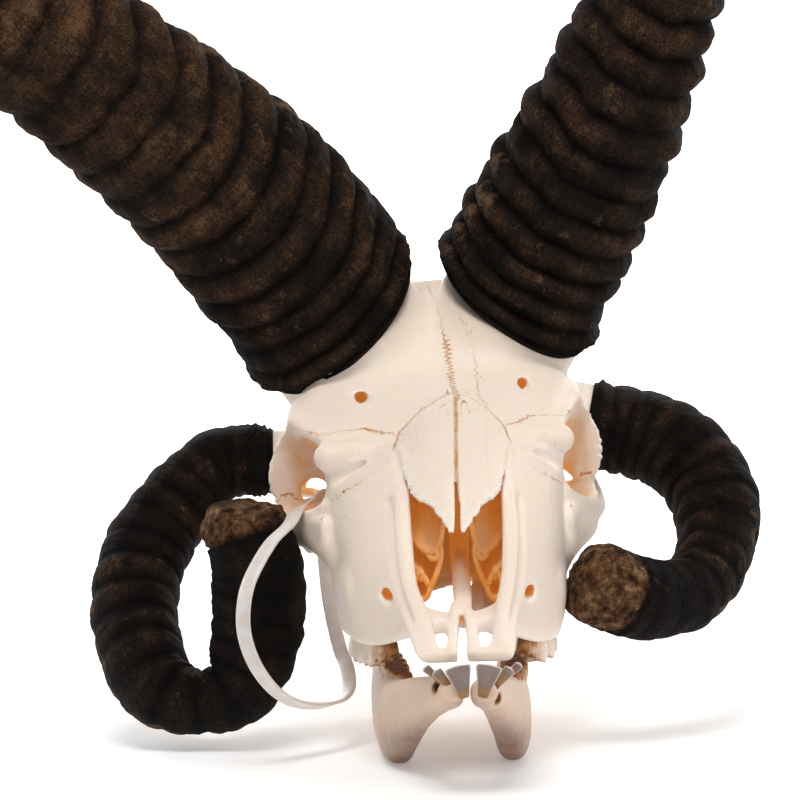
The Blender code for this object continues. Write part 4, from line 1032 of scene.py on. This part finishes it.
def enamel_material(name, tones):
    """Old tooth enamel, polished by wear: a tone that darkens to brown at the neck, with pale rims."""
    made, tree = blank_material(name)
    spot = add(tree, COORDINATES, out="Object")
    neck, rim = (add(tree, ATTRIBUTE, out="Fac", attribute_name=label) for label in ("neck", "rim"))
    # Stains of 3 mm and fine lengthwise lines
    stain = add(tree, NOISE, {"Vector": spot, "Scale": 330.0, "Detail": 4.0})
    lines = add(tree, MAPPING, {"Vector": spot, "Scale": (1500.0, 900.0, 120.0)})
    line = add(tree, NOISE, {"Vector": lines, "Scale": 1.0, "Detail": 2.0})
    tone = set_stops(add(tree, COLOUR_RAMP, (weighted(tree, neck, (stain, 0.6)),)), tones)
    shade = add(tree, MIX, {0: rim, 6: tone, 7: colour("#e6ded6")}, 2, data_type="RGBA")
    bump = add(tree, BUMP, {"Strength": 0.3, "Distance": 0.0002, "Height": line})
    shader = add(tree, SHADER, {
        "Base Color": shade, "Roughness": 0.4, "IOR": 1.62, "Specular IOR Level": 0.3,
        "Subsurface Weight": 0.15, "Subsurface Radius": (1.0, 0.6, 0.4), "Subsurface Scale": 0.002,
        "Normal": bump})
    add(tree, SURFACE, {"Surface": shader})
    return made


def nylon_material(name):
    """Moulded natural nylon: milky and faintly warm, with a satin skin."""
    made, tree = blank_material(name)
    spot = add(tree, COORDINATES, out="Object")
    # Flow marks 6 mm long and a moulding grain of 0.4 mm
    flow, grain = (add(tree, NOISE, {"Vector": spot, "Scale": scale, "Detail": detail})
                   for scale, detail in ((170.0, 3.0), (2500.0, 2.0)))
    tone = set_stops(add(tree, COLOUR_RAMP, (flow,)), [(0.3, "#ece2db"), (0.7, "#f9f2ee")])
    bump = add(tree, BUMP, {"Strength": 0.15, "Distance": 0.0001, "Height": grain})
    shader = add(tree, SHADER, {
        "Base Color": tone, "Roughness": 0.36, "IOR": 1.53, "Transmission Weight": 0.25,
        "Subsurface Weight": 0.5, "Subsurface Radius": (1.0, 0.9, 0.9), "Subsurface Scale": 0.0015,
        "Normal": bump})
    add(tree, SURFACE, {"Surface": shader})
    return made


def squarer(wave, power):
    """A sine or cosine bent towards a square one, for outlines with fuller corners."""
    return np.sign(wave)*np.abs(wave)**power


def horn_tube(name, row_gap, columns, tip_round, sunk):
    """A smooth sheath, sunk to leave room for its rings, with the numbers that the relief needs."""
    horn = HORNS[name]
    _, total = horn_frames(horn, [0.0])
    along = np.linspace(0, total, int(total/row_gap))
    frames, _ = horn_frames(horn, along)
    turn, c, d = unit_circle(columns)
    rings, lay, edge = [], [], []
    rim_shift, rim_tilt = horn["rim_tilt"]
    kink_side, kink = horn["kink"]
    worn_from, worn_to, worn_angle, worn_spread = horn["worn"]
    phase_places = [0.0, *ring_places(horn, total), total*0.97, total]
    phase = np.interp(along, phase_places, np.arange(len(phase_places)) - 0.5)
    for s, (middle, half, across, deep, tangent) in zip(along, frames):
        left = (total - s)/tip_round
        shrink = np.sqrt(max(1 - (1 - min(left, 1))**2, 0.0004))
        wide = max(half - sunk*min(1.0, half/14), half*0.5)*shrink
        slide = (rim_shift + rim_tilt*c)*np.exp(-(s/18)**2)
        slide = slide + kink*ramp(kink_side*c, 0.15, 1.0)*ramp(s, 0, 32)*(1 - ramp(s, total*0.4, total*0.7))
        u, v = wide*squarer(c, 0.92), wide*horn["depth"]*squarer(d, 0.92)
        rings.append(middle + across*u[:, None] + deep*v[:, None] + tangent*slide[:, None])
        lay.append(np.stack([half*c, half*horn["depth"]*d, s + slide], 1))
        turned = (np.degrees(turn) - worn_angle + 180) % 360 - 180
        edge.append(np.exp(-(turned/worn_spread)**2)*ramp(s, worn_from, worn_from + 12)
                    * (1 - ramp(s, worn_to - 12, worn_to)))
    return np.array(rings), np.array(lay), np.repeat(phase, columns), np.array(edge), along, total


def relief_tree(name):
    """Geometry nodes that raise rings, wrinkles and fibres on a smooth sheath."""
    tree = bpy.data.node_groups.new(name, "GeometryNodeTree")
    inputs = {"Sheath": "Geometry", "Ring height": "Float", "Ring softness": "Float", "Ring wander": "Float",
              "Wrinkle depth": "Float", "Fibre depth": "Float", "Lump height": "Float",
              "Sleeve length": "Float", "Crust length": "Float", "Seed": "Float", "Finish": "Material"}
    for label, kind in inputs.items():
        tree.interface.new_socket(label, in_out="INPUT", socket_type="NodeSocket" + kind)
    tree.interface.new_socket("Sheath", in_out="OUTPUT", socket_type="NodeSocketGeometry")
    given = add(tree, "NodeGroupInput").node.outputs
    lay = add(tree, STORED, ("lay",), data_type="FLOAT_VECTOR")
    ring, fade, tip, base = (add(tree, STORED, (label,), data_type="FLOAT")
                             for label in ("ring", "fade", "tip", "base"))
    seed = add(tree, "ShaderNodeCombineXYZ", (given["Seed"], given["Seed"]))
    spot = add(tree, VECTOR_MATH, (lay, seed), operation="ADD")
    # Patterns about zero: waves to the millimetre round the horn and along it, and their detail
    field = {}
    for label, around, lengthwise, detail in (
            ("wander", 0.04, 0.016, 2.0), ("own", 0.035, 0.07, 1.0), ("wrinkle", 0.045, 0.4, 3.0),
            ("fibre", 0.42, 0.08, 2.0), ("lump", 0.05, 0.05, 2.0), ("fold", 0.12, 0.12, 2.0),
            ("crack", 0.15, 0.15, 2.0)):
        laid = add(tree, VECTOR_MATH, (spot, (around, around, lengthwise)), operation="MULTIPLY")
        noise = add(tree, NOISE, {"Vector": laid, "Scale": 1.0, "Detail": detail})
        field[label] = add(tree, MATH, (noise, 0.5), operation="SUBTRACT")
    # The rings wander by a share of their spacing, and each is a soft cushion with a narrow groove
    phase = weighted(tree, ring, (field["wander"], given["Ring wander"]))
    part = add(tree, MATH, (phase,), operation="FRACT")
    off = add(tree, MATH, (weighted(tree, -1.0, (part, 2.0)),), operation="ABSOLUTE")
    sunk = add(tree, MATH, (off, given["Ring softness"]), operation="POWER")
    cushion = add(tree, MATH, (1.0, sunk), operation="SUBTRACT")
    # Each ring has its own strength
    own = add(tree, RANGE, (field["own"], -0.2, 0.1, 0.4, 1.0))
    raised = add(tree, MATH, (cushion, own), operation="MULTIPLY")
    raised = add(tree, MATH, (raised, fade), operation="MULTIPLY")
    total = weighted(tree, 0.0, (raised, given["Ring height"]), (field["wrinkle"], given["Wrinkle depth"]),
                     (field["fibre"], given["Fibre depth"]), (field["lump"], given["Lump height"]))
    # The sleeve at the base is folded every 3 mm
    folds = add(tree, MATH, (weighted(tree, base, (field["fold"], 9.0)), 4.5), operation="ADD")
    folds = add(tree, MATH, (folds, 1.4), operation="PINGPONG")
    in_sleeve = add(tree, RANGE, (base, given["Sleeve length"], 0.0, 0.0, 1.0))
    in_sleeve = add(tree, MATH, (in_sleeve, 4.0), operation="MULTIPLY", use_clamp=True)
    folds = add(tree, MATH, (folds, in_sleeve), operation="MULTIPLY")
    # A crack where the rough crust of the tip begins, and lumps on the crust
    from_crack = add(tree, MATH, (weighted(tree, tip, (field["crack"], 4.0)), given["Crust length"]),
                     operation="SUBTRACT")
    crack = add(tree, MATH, (from_crack,), operation="ABSOLUTE")
    crack = add(tree, RANGE, (crack, 0.2, 1.3, -1.3, 0.0))
    in_crust = add(tree, RANGE, (from_crack, 0.5, -2.0, 0.0, 1.0))
    place_now = add(tree, "GeometryNodeInputPosition")
    knobs = add(tree, NOISE, {"Vector": place_now, "Scale": 170.0, "Detail": 4.0})
    knobs = weighted(tree, -2.5, (knobs, 5.0))
    total = weighted(tree, total, (folds, 0.9), (crack, 1.0), (knobs, in_crust))
    # The rim itself stays thin and even
    from_rim = add(tree, RANGE, (base, 0.0, 3.0, 0.0, MM))
    metres = add(tree, MATH, (total, from_rim), operation="MULTIPLY")
    normal = add(tree, "GeometryNodeInputNormal")
    shift = add(tree, VECTOR_MATH, {0: normal, "Scale": metres}, operation="SCALE")
    moved = add(tree, "GeometryNodeSetPosition", {"Geometry": given["Sheath"], "Offset": shift})
    kept = add(tree, "GeometryNodeStoreNamedAttribute",
               {"Geometry": moved, "Name": "cushion", "Value": raised}, data_type="FLOAT", domain="POINT")
    whole = add(tree, "GeometryNodeRealizeInstances", {"Geometry": kept})
    done = add(tree, "GeometryNodeSetMaterial", {"Geometry": whole, "Material": given["Finish"]})
    add(tree, "NodeGroupOutput", {"Sheath": done})
    return tree


def run_tree(obj, tree, **values):
    """Run a node tree on the object with these inputs, named as in the tree, and bake it."""
    modifier = obj.modifiers.new(tree.name, "NODES")
    modifier.node_group = tree
    sockets = {item.name: item.identifier for item in tree.interface.items_tree
               if item.item_type == "SOCKET" and item.in_out == "INPUT"}
    for label, value in values.items():
        modifier[sockets[label.replace("_", " ")]] = value
    return settle(obj)


def build_horn(name, relief, finish, row_gap, columns, tip_round, sunk, **sizes):
    """One sheath: a smooth tube with its numbers for each vertex, then the relief."""
    rings, lay, number, edge, along, total = horn_tube(name, row_gap, columns, tip_round, sunk)
    horn = skin_rings(name + "_sheath", rings)
    base = np.repeat(along, columns)
    fade = np.clip(1.0 - (base/total - 0.6)*2.0, 0.12, 1.0)*np.clip((total - base)/8, 0, 1)
    set_values(horn, "lay", np.vstack([lay.reshape(-1, 3), lay[0].mean(0), lay[-1].mean(0)]), "FLOAT_VECTOR")
    for label, values, first, last in (
            ("ring", number, number[0], number[-1]), ("edge", edge, 0.0, 0.0), ("base", base, 0.0, total),
            ("tip", total - base, total, 0.0), ("fade", fade, 1.0, 0.0)):
        set_values(horn, label, np.append(values, (first, last)))
    run_tree(horn, relief, Finish=finish, **sizes)
    finish_piece(horn, "keratin", None, name)


# From the root to the biting end of a cheek tooth: share of its height, share of its width
TOOTH_RINGS = [(0.0, 0.7), (0.15, 0.74), (0.35, 0.84), (0.55, 0.95), (0.75, 1.0), (0.9, 0.95), (1.0, 0.8),
               (1.0, 0.55), (0.98, 0.25)]


def cheek_tooth(name, middle, ahead, length, width, root, crown, brown, finish):
    """A ribbed, tapering cheek tooth with a worn, cusped end."""
    along = np.array((*ahead, 0.0))
    across = np.array((-ahead[1], ahead[0], 0.0))
    turn, c, d = unit_circle(32)
    u = squarer(c, 0.75)
    v = squarer(d, 0.8)*(1 + 0.10*np.cos(3*turn + 0.4) - 0.10*np.exp(-(c/0.22)**2))
    rings, neck = [], []
    for share, size in TOOTH_RINGS:
        ring = np.array((*middle, root + (crown - root)*share)) + (
            along*(u*length/2*size)[:, None] + across*(v*width/2*size)[:, None])
        cusp = np.abs(np.sin(np.pi*u*size))*1.6 + np.abs(v*size)*0.9 - 1.9
        ring[:, 2] += np.sign(crown - root)*cusp*ramp(share, 0.6, 1.0)
        rings.append(ring)
        stain = 0.75*(1 - ramp(share, 0.0, 0.5)) + 0.5*(size < 0.6) + 0.3*(share > 0.9)
        neck.append(np.full(32, stain + brown))
    tooth = skin_rings(name + "_crown", rings)
    set_values(tooth, "neck", np.append(neck, (1.0, 1.0)))
    set_values(tooth, "rim", np.zeros(len(tooth.data.vertices)))
    finish_piece(tooth, "enamel", finish, name)


def cheek_row(level, side, row, finish):
    """The six cheek teeth of one jaw on one side, along the row's line."""
    s = SIDES[side]
    ys, xs = np.array(row["line"]).T
    y = row["start"]
    for number, ((length, width), crown, brown) in enumerate(zip(CHEEK_TEETH, row["crown"], row["brown"]), 1):
        middle_y = y + length/2
        lean = (np.interp(middle_y + 4, ys, xs) - np.interp(middle_y - 4, ys, xs))/8
        ahead = s*np.array((s*lean, 1.0))/np.hypot(lean, 1.0)
        cheek_tooth(f"tooth_{level}_{side}_{number}", (s*np.interp(middle_y, ys, xs), middle_y), ahead,
                    length, width, row["root"], crown, brown, finish)
        y += length + TOOTH_GAP


def front_teeth(side, finish):
    """Spatula teeth that fan out from the chin, hollowed behind, with a pale worn edge."""
    _, c, d = unit_circle(28)
    u, v = squarer(c, 0.8), squarer(d, 0.8)
    for number, (edge, neck, wide, narrow) in enumerate(INCISORS, 1):
        edge, neck = np.array(edge), np.array(neck)
        down = (neck - edge)/np.linalg.norm(neck - edge)
        across = np.cross(down, (0.0, 1.0, 0.0))
        across /= np.linalg.norm(across)
        thick = np.cross(across, down)
        rings, brown, rim = [], [], []
        for share in (0.0, 0.012, 0.04, 0.09, 0.18, 0.3, 0.45, 0.6, 0.75, 0.9, 1.0):
            width = np.interp(share, (0, 0.04, 0.18, 0.5, 1), (wide*0.8, wide*0.96, wide, wide*0.74, narrow))
            depth = np.interp(share, (0, 0.04, 0.3, 1), (0.5, 1.0, 1.9, 2.6))
            bow = 0.5*(1 - u*u)*(1 - share)*np.sign(thick[1])
            worn = 0.9*u*u*max(0.0, 1 - share*12)
            rings.append(edge + (neck - edge)*share + across*(u*width/2)[:, None]
                         + thick*(v*depth/2 - bow)[:, None] + down*worn[:, None])
            brown.append(np.full(28, 0.55*ramp(share, 0.55, 1.0) + 0.4*(number > 1)*ramp(share, 0.05, 0.4)))
            pale = np.maximum(ramp(np.abs(u), 0.8, 0.98)*0.7, 0.9*(share < 0.03))
            rim.append(pale*(share < 0.8))
        rings = np.array(rings)*(-SIDES[side], 1, 1) + (INCISOR_MIDLINE_X, 0, 0)
        name = f"incisor_{side}_{number}"
        tooth = skin_rings(name + "_crown", rings)
        set_values(tooth, "neck", np.append(brown, (0.0, 0.6)))
        set_values(tooth, "rim", np.append(rim, (0.9, 0.0)))
        finish_piece(tooth, "enamel", finish, name)


def build_jaw(side, bone):
    """One half of the lower jaw: body, upright branch, condyle, tooth sockets and nerve hole."""
    s = SIDES[side]
    stations = sorted(JAW_BODY)
    columns = np.array([JAW_BODY[k] for k in stations]).T
    edges = sorted((s*-2, s*62))
    clay = Clay((edges[0], -8, -50), (edges[1], 212, 54), JAW_GRID)

    def body(x, y, z):
        middle, height, tall, thick = (np.interp(y, stations, column) for column in columns)
        u = (s*x - middle)/thick
        v = (z - height)/tall
        reach = (np.abs(u)**2.5 + np.abs(v)**2.5)**0.4
        slope = np.sqrt((u/thick)**2 + (v/tall)**2)/np.maximum(np.sqrt(u*u + v*v), 1e-6)
        distance = (reach - 1)/np.maximum(slope, 1e-6)
        return np.maximum(distance, np.maximum(-1.5 - y, y - 172))

    def branch_x(y, z):
        lean = np.maximum(0, z - JAW_LEAN_START_Z)*JAW_BRANCH_LEAN
        return s*(JAW_BRANCH_X + lean - np.maximum(0, z - JAW_HOOK_Z)*JAW_HOOK_LEAN)
    clay.add((clay.low, np.array((62, 172, 54)), body), 0)
    clay.add(plate(JAW_BRANCH, branch_x, 1.6, 0), 3)
    clay.add(rod([(s*39, 201, 33, 4), (s*51, 202, 34, 4)]), 3)
    # The nerve hole at the chin sits lower on the left, and there are three shallow sockets beside it
    hole_z = -13.6 - 2.1*s
    clay.cut(rod([(s*12.4, 1.5, hole_z + 0.8, 2.2), (s*9.6, 8, hole_z, 2.0), (s*8.4, 15, hole_z, 1.4)]), 0.6)
    clay.cut(rod([(s*3, 40, -10.5, 1.2), (s*10.5, 44, -11.5, 1.6)]), 0.8)
    for number in range(3):
        clay.cut(ball((s*(6 + 4*number), 1.5 + 3*number, -9.5 + number), (1.6, 2.2, 2.6)), 1.2)
    # Cut flat on the ground, and along the midline where the halves meet
    clay.cut((np.array((-70, -10, -60)), np.array((70, 220, GROUND_Z)),
              lambda x, y, z: z - GROUND_Z + 0*x + 0*y), 0.4)
    edges = sorted((s*-10, s*0.4))
    clay.cut((np.array((edges[0], -10, -60)), np.array((edges[1], 90, 20)),
              lambda x, y, z: s*x - 0.5 + 0*y + 0*z), 0.4)
    name = "mandible_" + side
    jaw = carve(clay, name + "_bone", JAW_TRIANGLES)
    points, normals = mesh_points(jaw)
    x, y, z = points.T
    sky = open_sky(clay, points, normals, reach=30, rays=32)*0.9
    # Grime and painted shade on the lower border and at the chin, never as orange as the inside of a hole
    shade_and_grime = 0.42*ramp(-z, 20, 38)*(1 - ramp(y, 60, 120)) + 0.45*np.exp(-(x/3)**2)*(1 - ramp(y, 6, 28))
    set_values(jaw, "sky", even_out(jaw, np.maximum(sky - shade_and_grime, np.minimum(sky, SHADE_AND_GRIME_FLOOR)), 6))
    sideways = JAW_SHIFT_X*ramp(y, 12, 50)*(1 - ramp(y, 110, 160))
    move_points(jaw, points + sideways[:, None]*np.array((1, 0, 0)))
    finish_piece(jaw, "bone", bone, name)


def build_tie(nylon):
    """A closed flat strap with raised rims, through the orbit and round the cheek bone."""
    line = smooth_line([TIE_LINE[-1], *TIE_LINE, *TIE_LINE[:2]], 12)[12:-12][:-1]
    profile = [(-1, -0.9), (0, -0.9), (1, -0.9), (1, 0), (1, 1), (0.86, 1), (0.74, 0.45), (0, 0.45),
               (-0.74, 0.45), (-0.86, 1), (-1, 1), (-1, 0)]
    rings = []
    for before, point, after in zip(np.roll(line, 1, 0), line, np.roll(line, -1, 0)):
        tangent = (after - before)/np.linalg.norm(after - before)
        outward = point - np.array(TIE_MIDDLE)
        outward -= tangent*outward.dot(tangent)
        outward /= np.linalg.norm(outward)
        flat = np.cross(tangent, outward)
        rings.append([point + flat*u*TIE_WIDTH/2 + outward*v*TIE_THICKNESS/2 for u, v in profile])
    tie = skin_rings("nylon_tie_strap", rings, closed=True)
    bake(tie, "SUBSURF", levels=1, render_levels=1)
    finish_piece(tie, "nylon", nylon, "nylon_tie")


def scroll_sheet(name, front, back, bone, clay):
    """A thin leaf of bone between a front edge and a back edge, each a line of points."""
    front, back = smooth_line(front, 6), smooth_line(back, 6)
    share = (np.linspace(0, 1, 14)**1.3)[:, None, None]
    grid = front[None]*(1 - share) + back[None]*share
    normal = np.cross(np.gradient(grid, axis=1), np.gradient(grid, axis=0))
    normal /= np.linalg.norm(normal, axis=2, keepdims=True) + 1e-9
    thick = SCROLL_THICKNESS/2*(1 + 0.7*np.exp(-share*18))
    rows, count = grid.shape[:2]
    under = rows*count
    faces = []
    for i in range(rows - 1):
        for k in range(count - 1):
            a, b, c, d = i*count + k, i*count + k + 1, (i + 1)*count + k + 1, (i + 1)*count + k
            faces += [(a, b, c, d), (d + under, c + under, b + under, a + under)]
    number = np.arange(under).reshape(rows, count)
    rim = [*number[0], *number[1:, -1], *number[-1, -2::-1], *number[-2:0:-1, 0]]
    faces += [(a, a + under, b + under, b) for a, b in zip(rim, rim[1:] + rim[:1])]
    points = np.vstack([(grid + normal*thick).reshape(-1, 3), (grid - normal*thick).reshape(-1, 3)])
    sheet = face_outwards(new_mesh(name, points, faces))
    bake(sheet, "SUBSURF", levels=1, render_levels=1)
    points, normals = mesh_points(sheet)
    # Painted shade: the leaves darken towards the back of the nose
    sky = open_sky(clay, points, normals)*1.25 - 0.25*ramp(points[:, 1], 66, 112)
    set_values(sheet, "sky", even_out(sheet, np.clip(sky, 0, 1), 14))
    move_points(sheet, lopsided(points))
    finish_piece(sheet, "bone", bone)


# The curled leaves inside the nose: front edge and back edge of each, on the left side
NOSE_LEAVES = {
    "leaf": ([(17.2, 84, 33), (15.6, 80, 30), (13.2, 77, 27.6), (10.6, 75.5, 26.2), (8.2, 75.5, 26.6),
              (6.4, 77, 29), (5.4, 79, 33), (4.6, 81, 38)],
             [(18, 112, 58), (15.5, 112, 59), (13, 112, 60), (10, 112, 61), (8, 112, 62), (6, 112, 63),
              (4.6, 112, 64), (3.4, 112, 65)]),
    "curl": ([(10.6, 75.5, 26.2), (9.4, 74.8, 24.6), (8, 74.6, 24.4), (7.2, 74.8, 25.6), (7.8, 75, 26.8),
              (9, 75.2, 26.8), (9.4, 75.6, 25.8)],
             [(11.6, 108, 36), (10, 108, 34), (8.2, 108, 34), (7.2, 108, 35.5), (8, 108, 37), (9.2, 108, 37),
              (9.6, 108, 35.8)]),
    "inner": ([(6.4, 77, 29), (6.0, 76, 26), (6.6, 75, 22.4), (8, 74, 18.4), (9.6, 73.4, 14.8),
               (11, 73, 11.6)],
              [(4.8, 116, 42), (4.6, 116, 38), (5.2, 116, 33), (6.4, 116, 28), (8, 116, 23), (9.6, 116, 19)]),
    "loop": ([(9.9, 73.2, 14.4), (11, 72.6, 11.4), (12.8, 72.4, 10.2), (14.6, 72.6, 11.4), (15.4, 73, 14.4),
              (14.8, 73.6, 18), (13.4, 74, 20), (12.6, 74.2, 18.6), (13.2, 74, 16.6)],
             [(9.6, 116, 22), (11, 116, 18), (13, 116, 16.4), (15.2, 116, 18), (16.4, 116, 22),
              (15.6, 116, 26.6), (13.6, 116, 29), (12.6, 116, 27), (13.2, 116, 24.6)]),
    "strand": ([(18.6, 78, 24.6), (15.6, 75.6, 21.8), (12.4, 74.4, 18.4), (10.4, 73.6, 15)],
               [(22, 116, 34), (17.6, 116, 31), (12.8, 116, 27), (10, 116, 23)]),
}


def nose_scrolls(bone, clay):
    """The curled leaves on both sides of the nose."""
    for side, s in SIDES.items():
        for label, (front, back) in NOSE_LEAVES.items():
            mirror = np.array((s, 1, 1))
            scroll_sheet(f"nose_{label}_{side}", front*mirror, back*mirror, bone, clay)


def build_stage():
    """A pale seamless sweep: floor, curve and wall in one sheet."""
    wall_y, wall_top, bend = 4.4, 4.2, 1.4
    profile = [(-3.2, 0.0)]
    for turn in np.linspace(0, np.pi/2, 17):
        profile.append((wall_y - bend + bend*np.sin(turn), bend - bend*np.cos(turn)))
    profile.append((wall_y, wall_top))
    mesh = bpy.data.meshes.new("sweep")
    mesh.from_pydata([(x, y, z) for y, z in profile for x in (-3.5, 3.5)], [],
                     [(2*i, 2*i + 1, 2*i + 3, 2*i + 2) for i in range(len(profile) - 1)])
    mesh.shade_smooth()
    sweep = put("sweep", mesh)
    paper, tree = blank_material("sweep_paper")
    # Matt background paper: duller in front of the skull, with a painted glow, growing behind it, that keeps
    # it white
    back = add(tree, "ShaderNodeSeparateXYZ", (add(tree, COORDINATES, out="Object"),), "Y")
    pale = add(tree, RANGE, (back, -0.34, -0.16, 0.5, 0.9))
    painted_paper_glow = add(tree, RANGE, (back, -0.16, 0.5, 0.08, 0.66))
    shader = add(tree, SHADER, {
        "Base Color": pale, "Roughness": 1.0, "Specular IOR Level": 0.0,
        "Emission Color": (1.0, 1.0, 1.0, 1.0), "Emission Strength": painted_paper_glow})
    add(tree, SURFACE, {"Surface": shader})
    sweep.data.materials.append(paper)


def soft_light(name, at, aim, size, power, tint):
    """A round lamp in metres and watts that points at aim."""
    light = bpy.data.lights.new(name, "AREA")
    light.shape = "DISK"
    light.size = size
    light.energy = power
    light.color = tint
    lamp = put(name, light)
    lamp.location = at
    lamp.rotation_euler = (Vector(aim) - Vector(at)).to_track_quat("-Z", "Y").to_euler()


def build_lights():
    """A soft key from above, a fill from the right and two lamps on the paper behind."""
    bpy.context.scene.view_settings.view_transform = "Standard"
    world = bpy.data.worlds.new("studio")
    world.use_nodes = True
    background = world.node_tree.nodes["Background"]
    background.inputs["Color"].default_value = (1.0, 1.0, 1.0, 1.0)
    background.inputs["Strength"].default_value = 0.38
    bpy.context.scene.world = world
    aim = (0.05, 0.0, 0.15)
    warm = (1.0, 0.99, 0.98)
    soft_light("key", (-0.12, -0.8, 2.0), aim, 1.0, 23.5, warm)
    soft_light("fill", (1.2, -1.3, 0.9), aim, 1.4, 8, warm)
    for name, x in (("sweep_left", -2.2), ("sweep_right", 2.2)):
        soft_light(name, (x, 2.9, 1.9), (0.0, 4.2, 0.8), 1.6, 90, (1.0, 1.0, 1.0))


def build_camera():
    """The photograph's view: nearly level, from the front, with a little roll."""
    pitch, yaw, roll = np.radians((CAMERA_PITCH, CAMERA_YAW, CAMERA_ROLL))
    forward = Vector((np.sin(yaw)*np.cos(pitch), np.cos(yaw)*np.cos(pitch), -np.sin(pitch)))
    right = Vector((np.cos(yaw), -np.sin(yaw), 0.0))
    up = right.cross(forward)
    lens = bpy.data.cameras.new("photo_view")
    lens.lens = CAMERA_LENS
    lens.sensor_width = 36.0
    lens.clip_end = 20.0
    camera = put("photo_view", lens)
    tilted = right*np.cos(roll) - up*np.sin(roll), right*np.sin(roll) + up*np.cos(roll)
    turn = Matrix((*tilted, -forward)).transposed().to_4x4()
    camera.matrix_world = Matrix.Translation(Vector(place(CAMERA_AT))) @ turn
    bpy.context.scene.camera = camera


# Each sheath: its material (crusted tip, dark sleeve, paler by this much away from the base), its mesh
# (row gap, columns, rounding of the tip, room for the rings) and the sizes of its relief, all in mm
HORN_LOOKS = {
    "upper_right": ((0, 5, 0.24), (0.95, 170, 7, 1.8), (3.6, 3.0, 0.6, 1.5, 1.1, 2.0, 8.0, -50.0, 3.0)),
    "upper_left": ((0, 5, 0.1), (0.85, 170, 7, 2.4), (4.4, 2.6, 0.8, 1.5, 1.1, 2.0, 8.0, -50.0, 21.0)),
    "lower_left": ((20, 4, -0.06), (0.8, 110, 8, 0.6), (1.5, 2.2, 0.8, 1.6, 0.5, 3.0, 5.0, 20.0, 40.0)),
    "lower_right": ((13, 9, -0.06), (0.8, 110, 8, 0.6), (1.5, 2.2, 0.8, 1.6, 0.5, 3.0, 12.0, 13.0, 57.0)),
}
RELIEF_SIZES = ("Ring_height", "Ring_softness", "Ring_wander", "Wrinkle_depth", "Fibre_depth",
                "Lump_height", "Sleeve_length", "Crust_length", "Seed")

CREAM_TONES = [(0.2, "#f4e7da"), (0.45, "#eedbc6"), (0.75, "#b9834a"), (1.0, "#7c4a1e")]
GREY_TONES = [(0.2, "#93827c"), (0.42, "#857269"), (0.7, "#a0763f"), (1.0, "#6b4423")]


def main():
    build_camera()
    build_lights()
    build_stage()
    bone = bone_material("bleached_bone", HEAD_TONES, True, 0.34)
    scroll_bone = bone_material("thin_scroll_bone", SCROLL_TONES, False, 0.2, 0.8)
    jaw_bone = bone_material("bleached_jaw_bone", JAW_TONES, False, 0.3, 0.14)
    nose_scrolls(scroll_bone, build_cranium(bone))
    relief = relief_tree("horn_relief")
    for label, (keratin, mesh, sizes) in HORN_LOOKS.items():
        build_horn("horn_" + label, relief, keratin_material("keratin_" + label, *keratin), *mesh,
                   **dict(zip(RELIEF_SIZES, sizes)))
    cream = enamel_material("cream_enamel", CREAM_TONES)
    grey = enamel_material("grey_enamel", GREY_TONES)
    for side in SIDES:
        build_jaw(side, jaw_bone)
        cheek_row("upper", side, UPPER_ROW, cream)
        cheek_row("lower", side, LOWER_ROW, cream)
        front_teeth(side, grey)
    build_tie(nylon_material("natural_nylon"))


main()
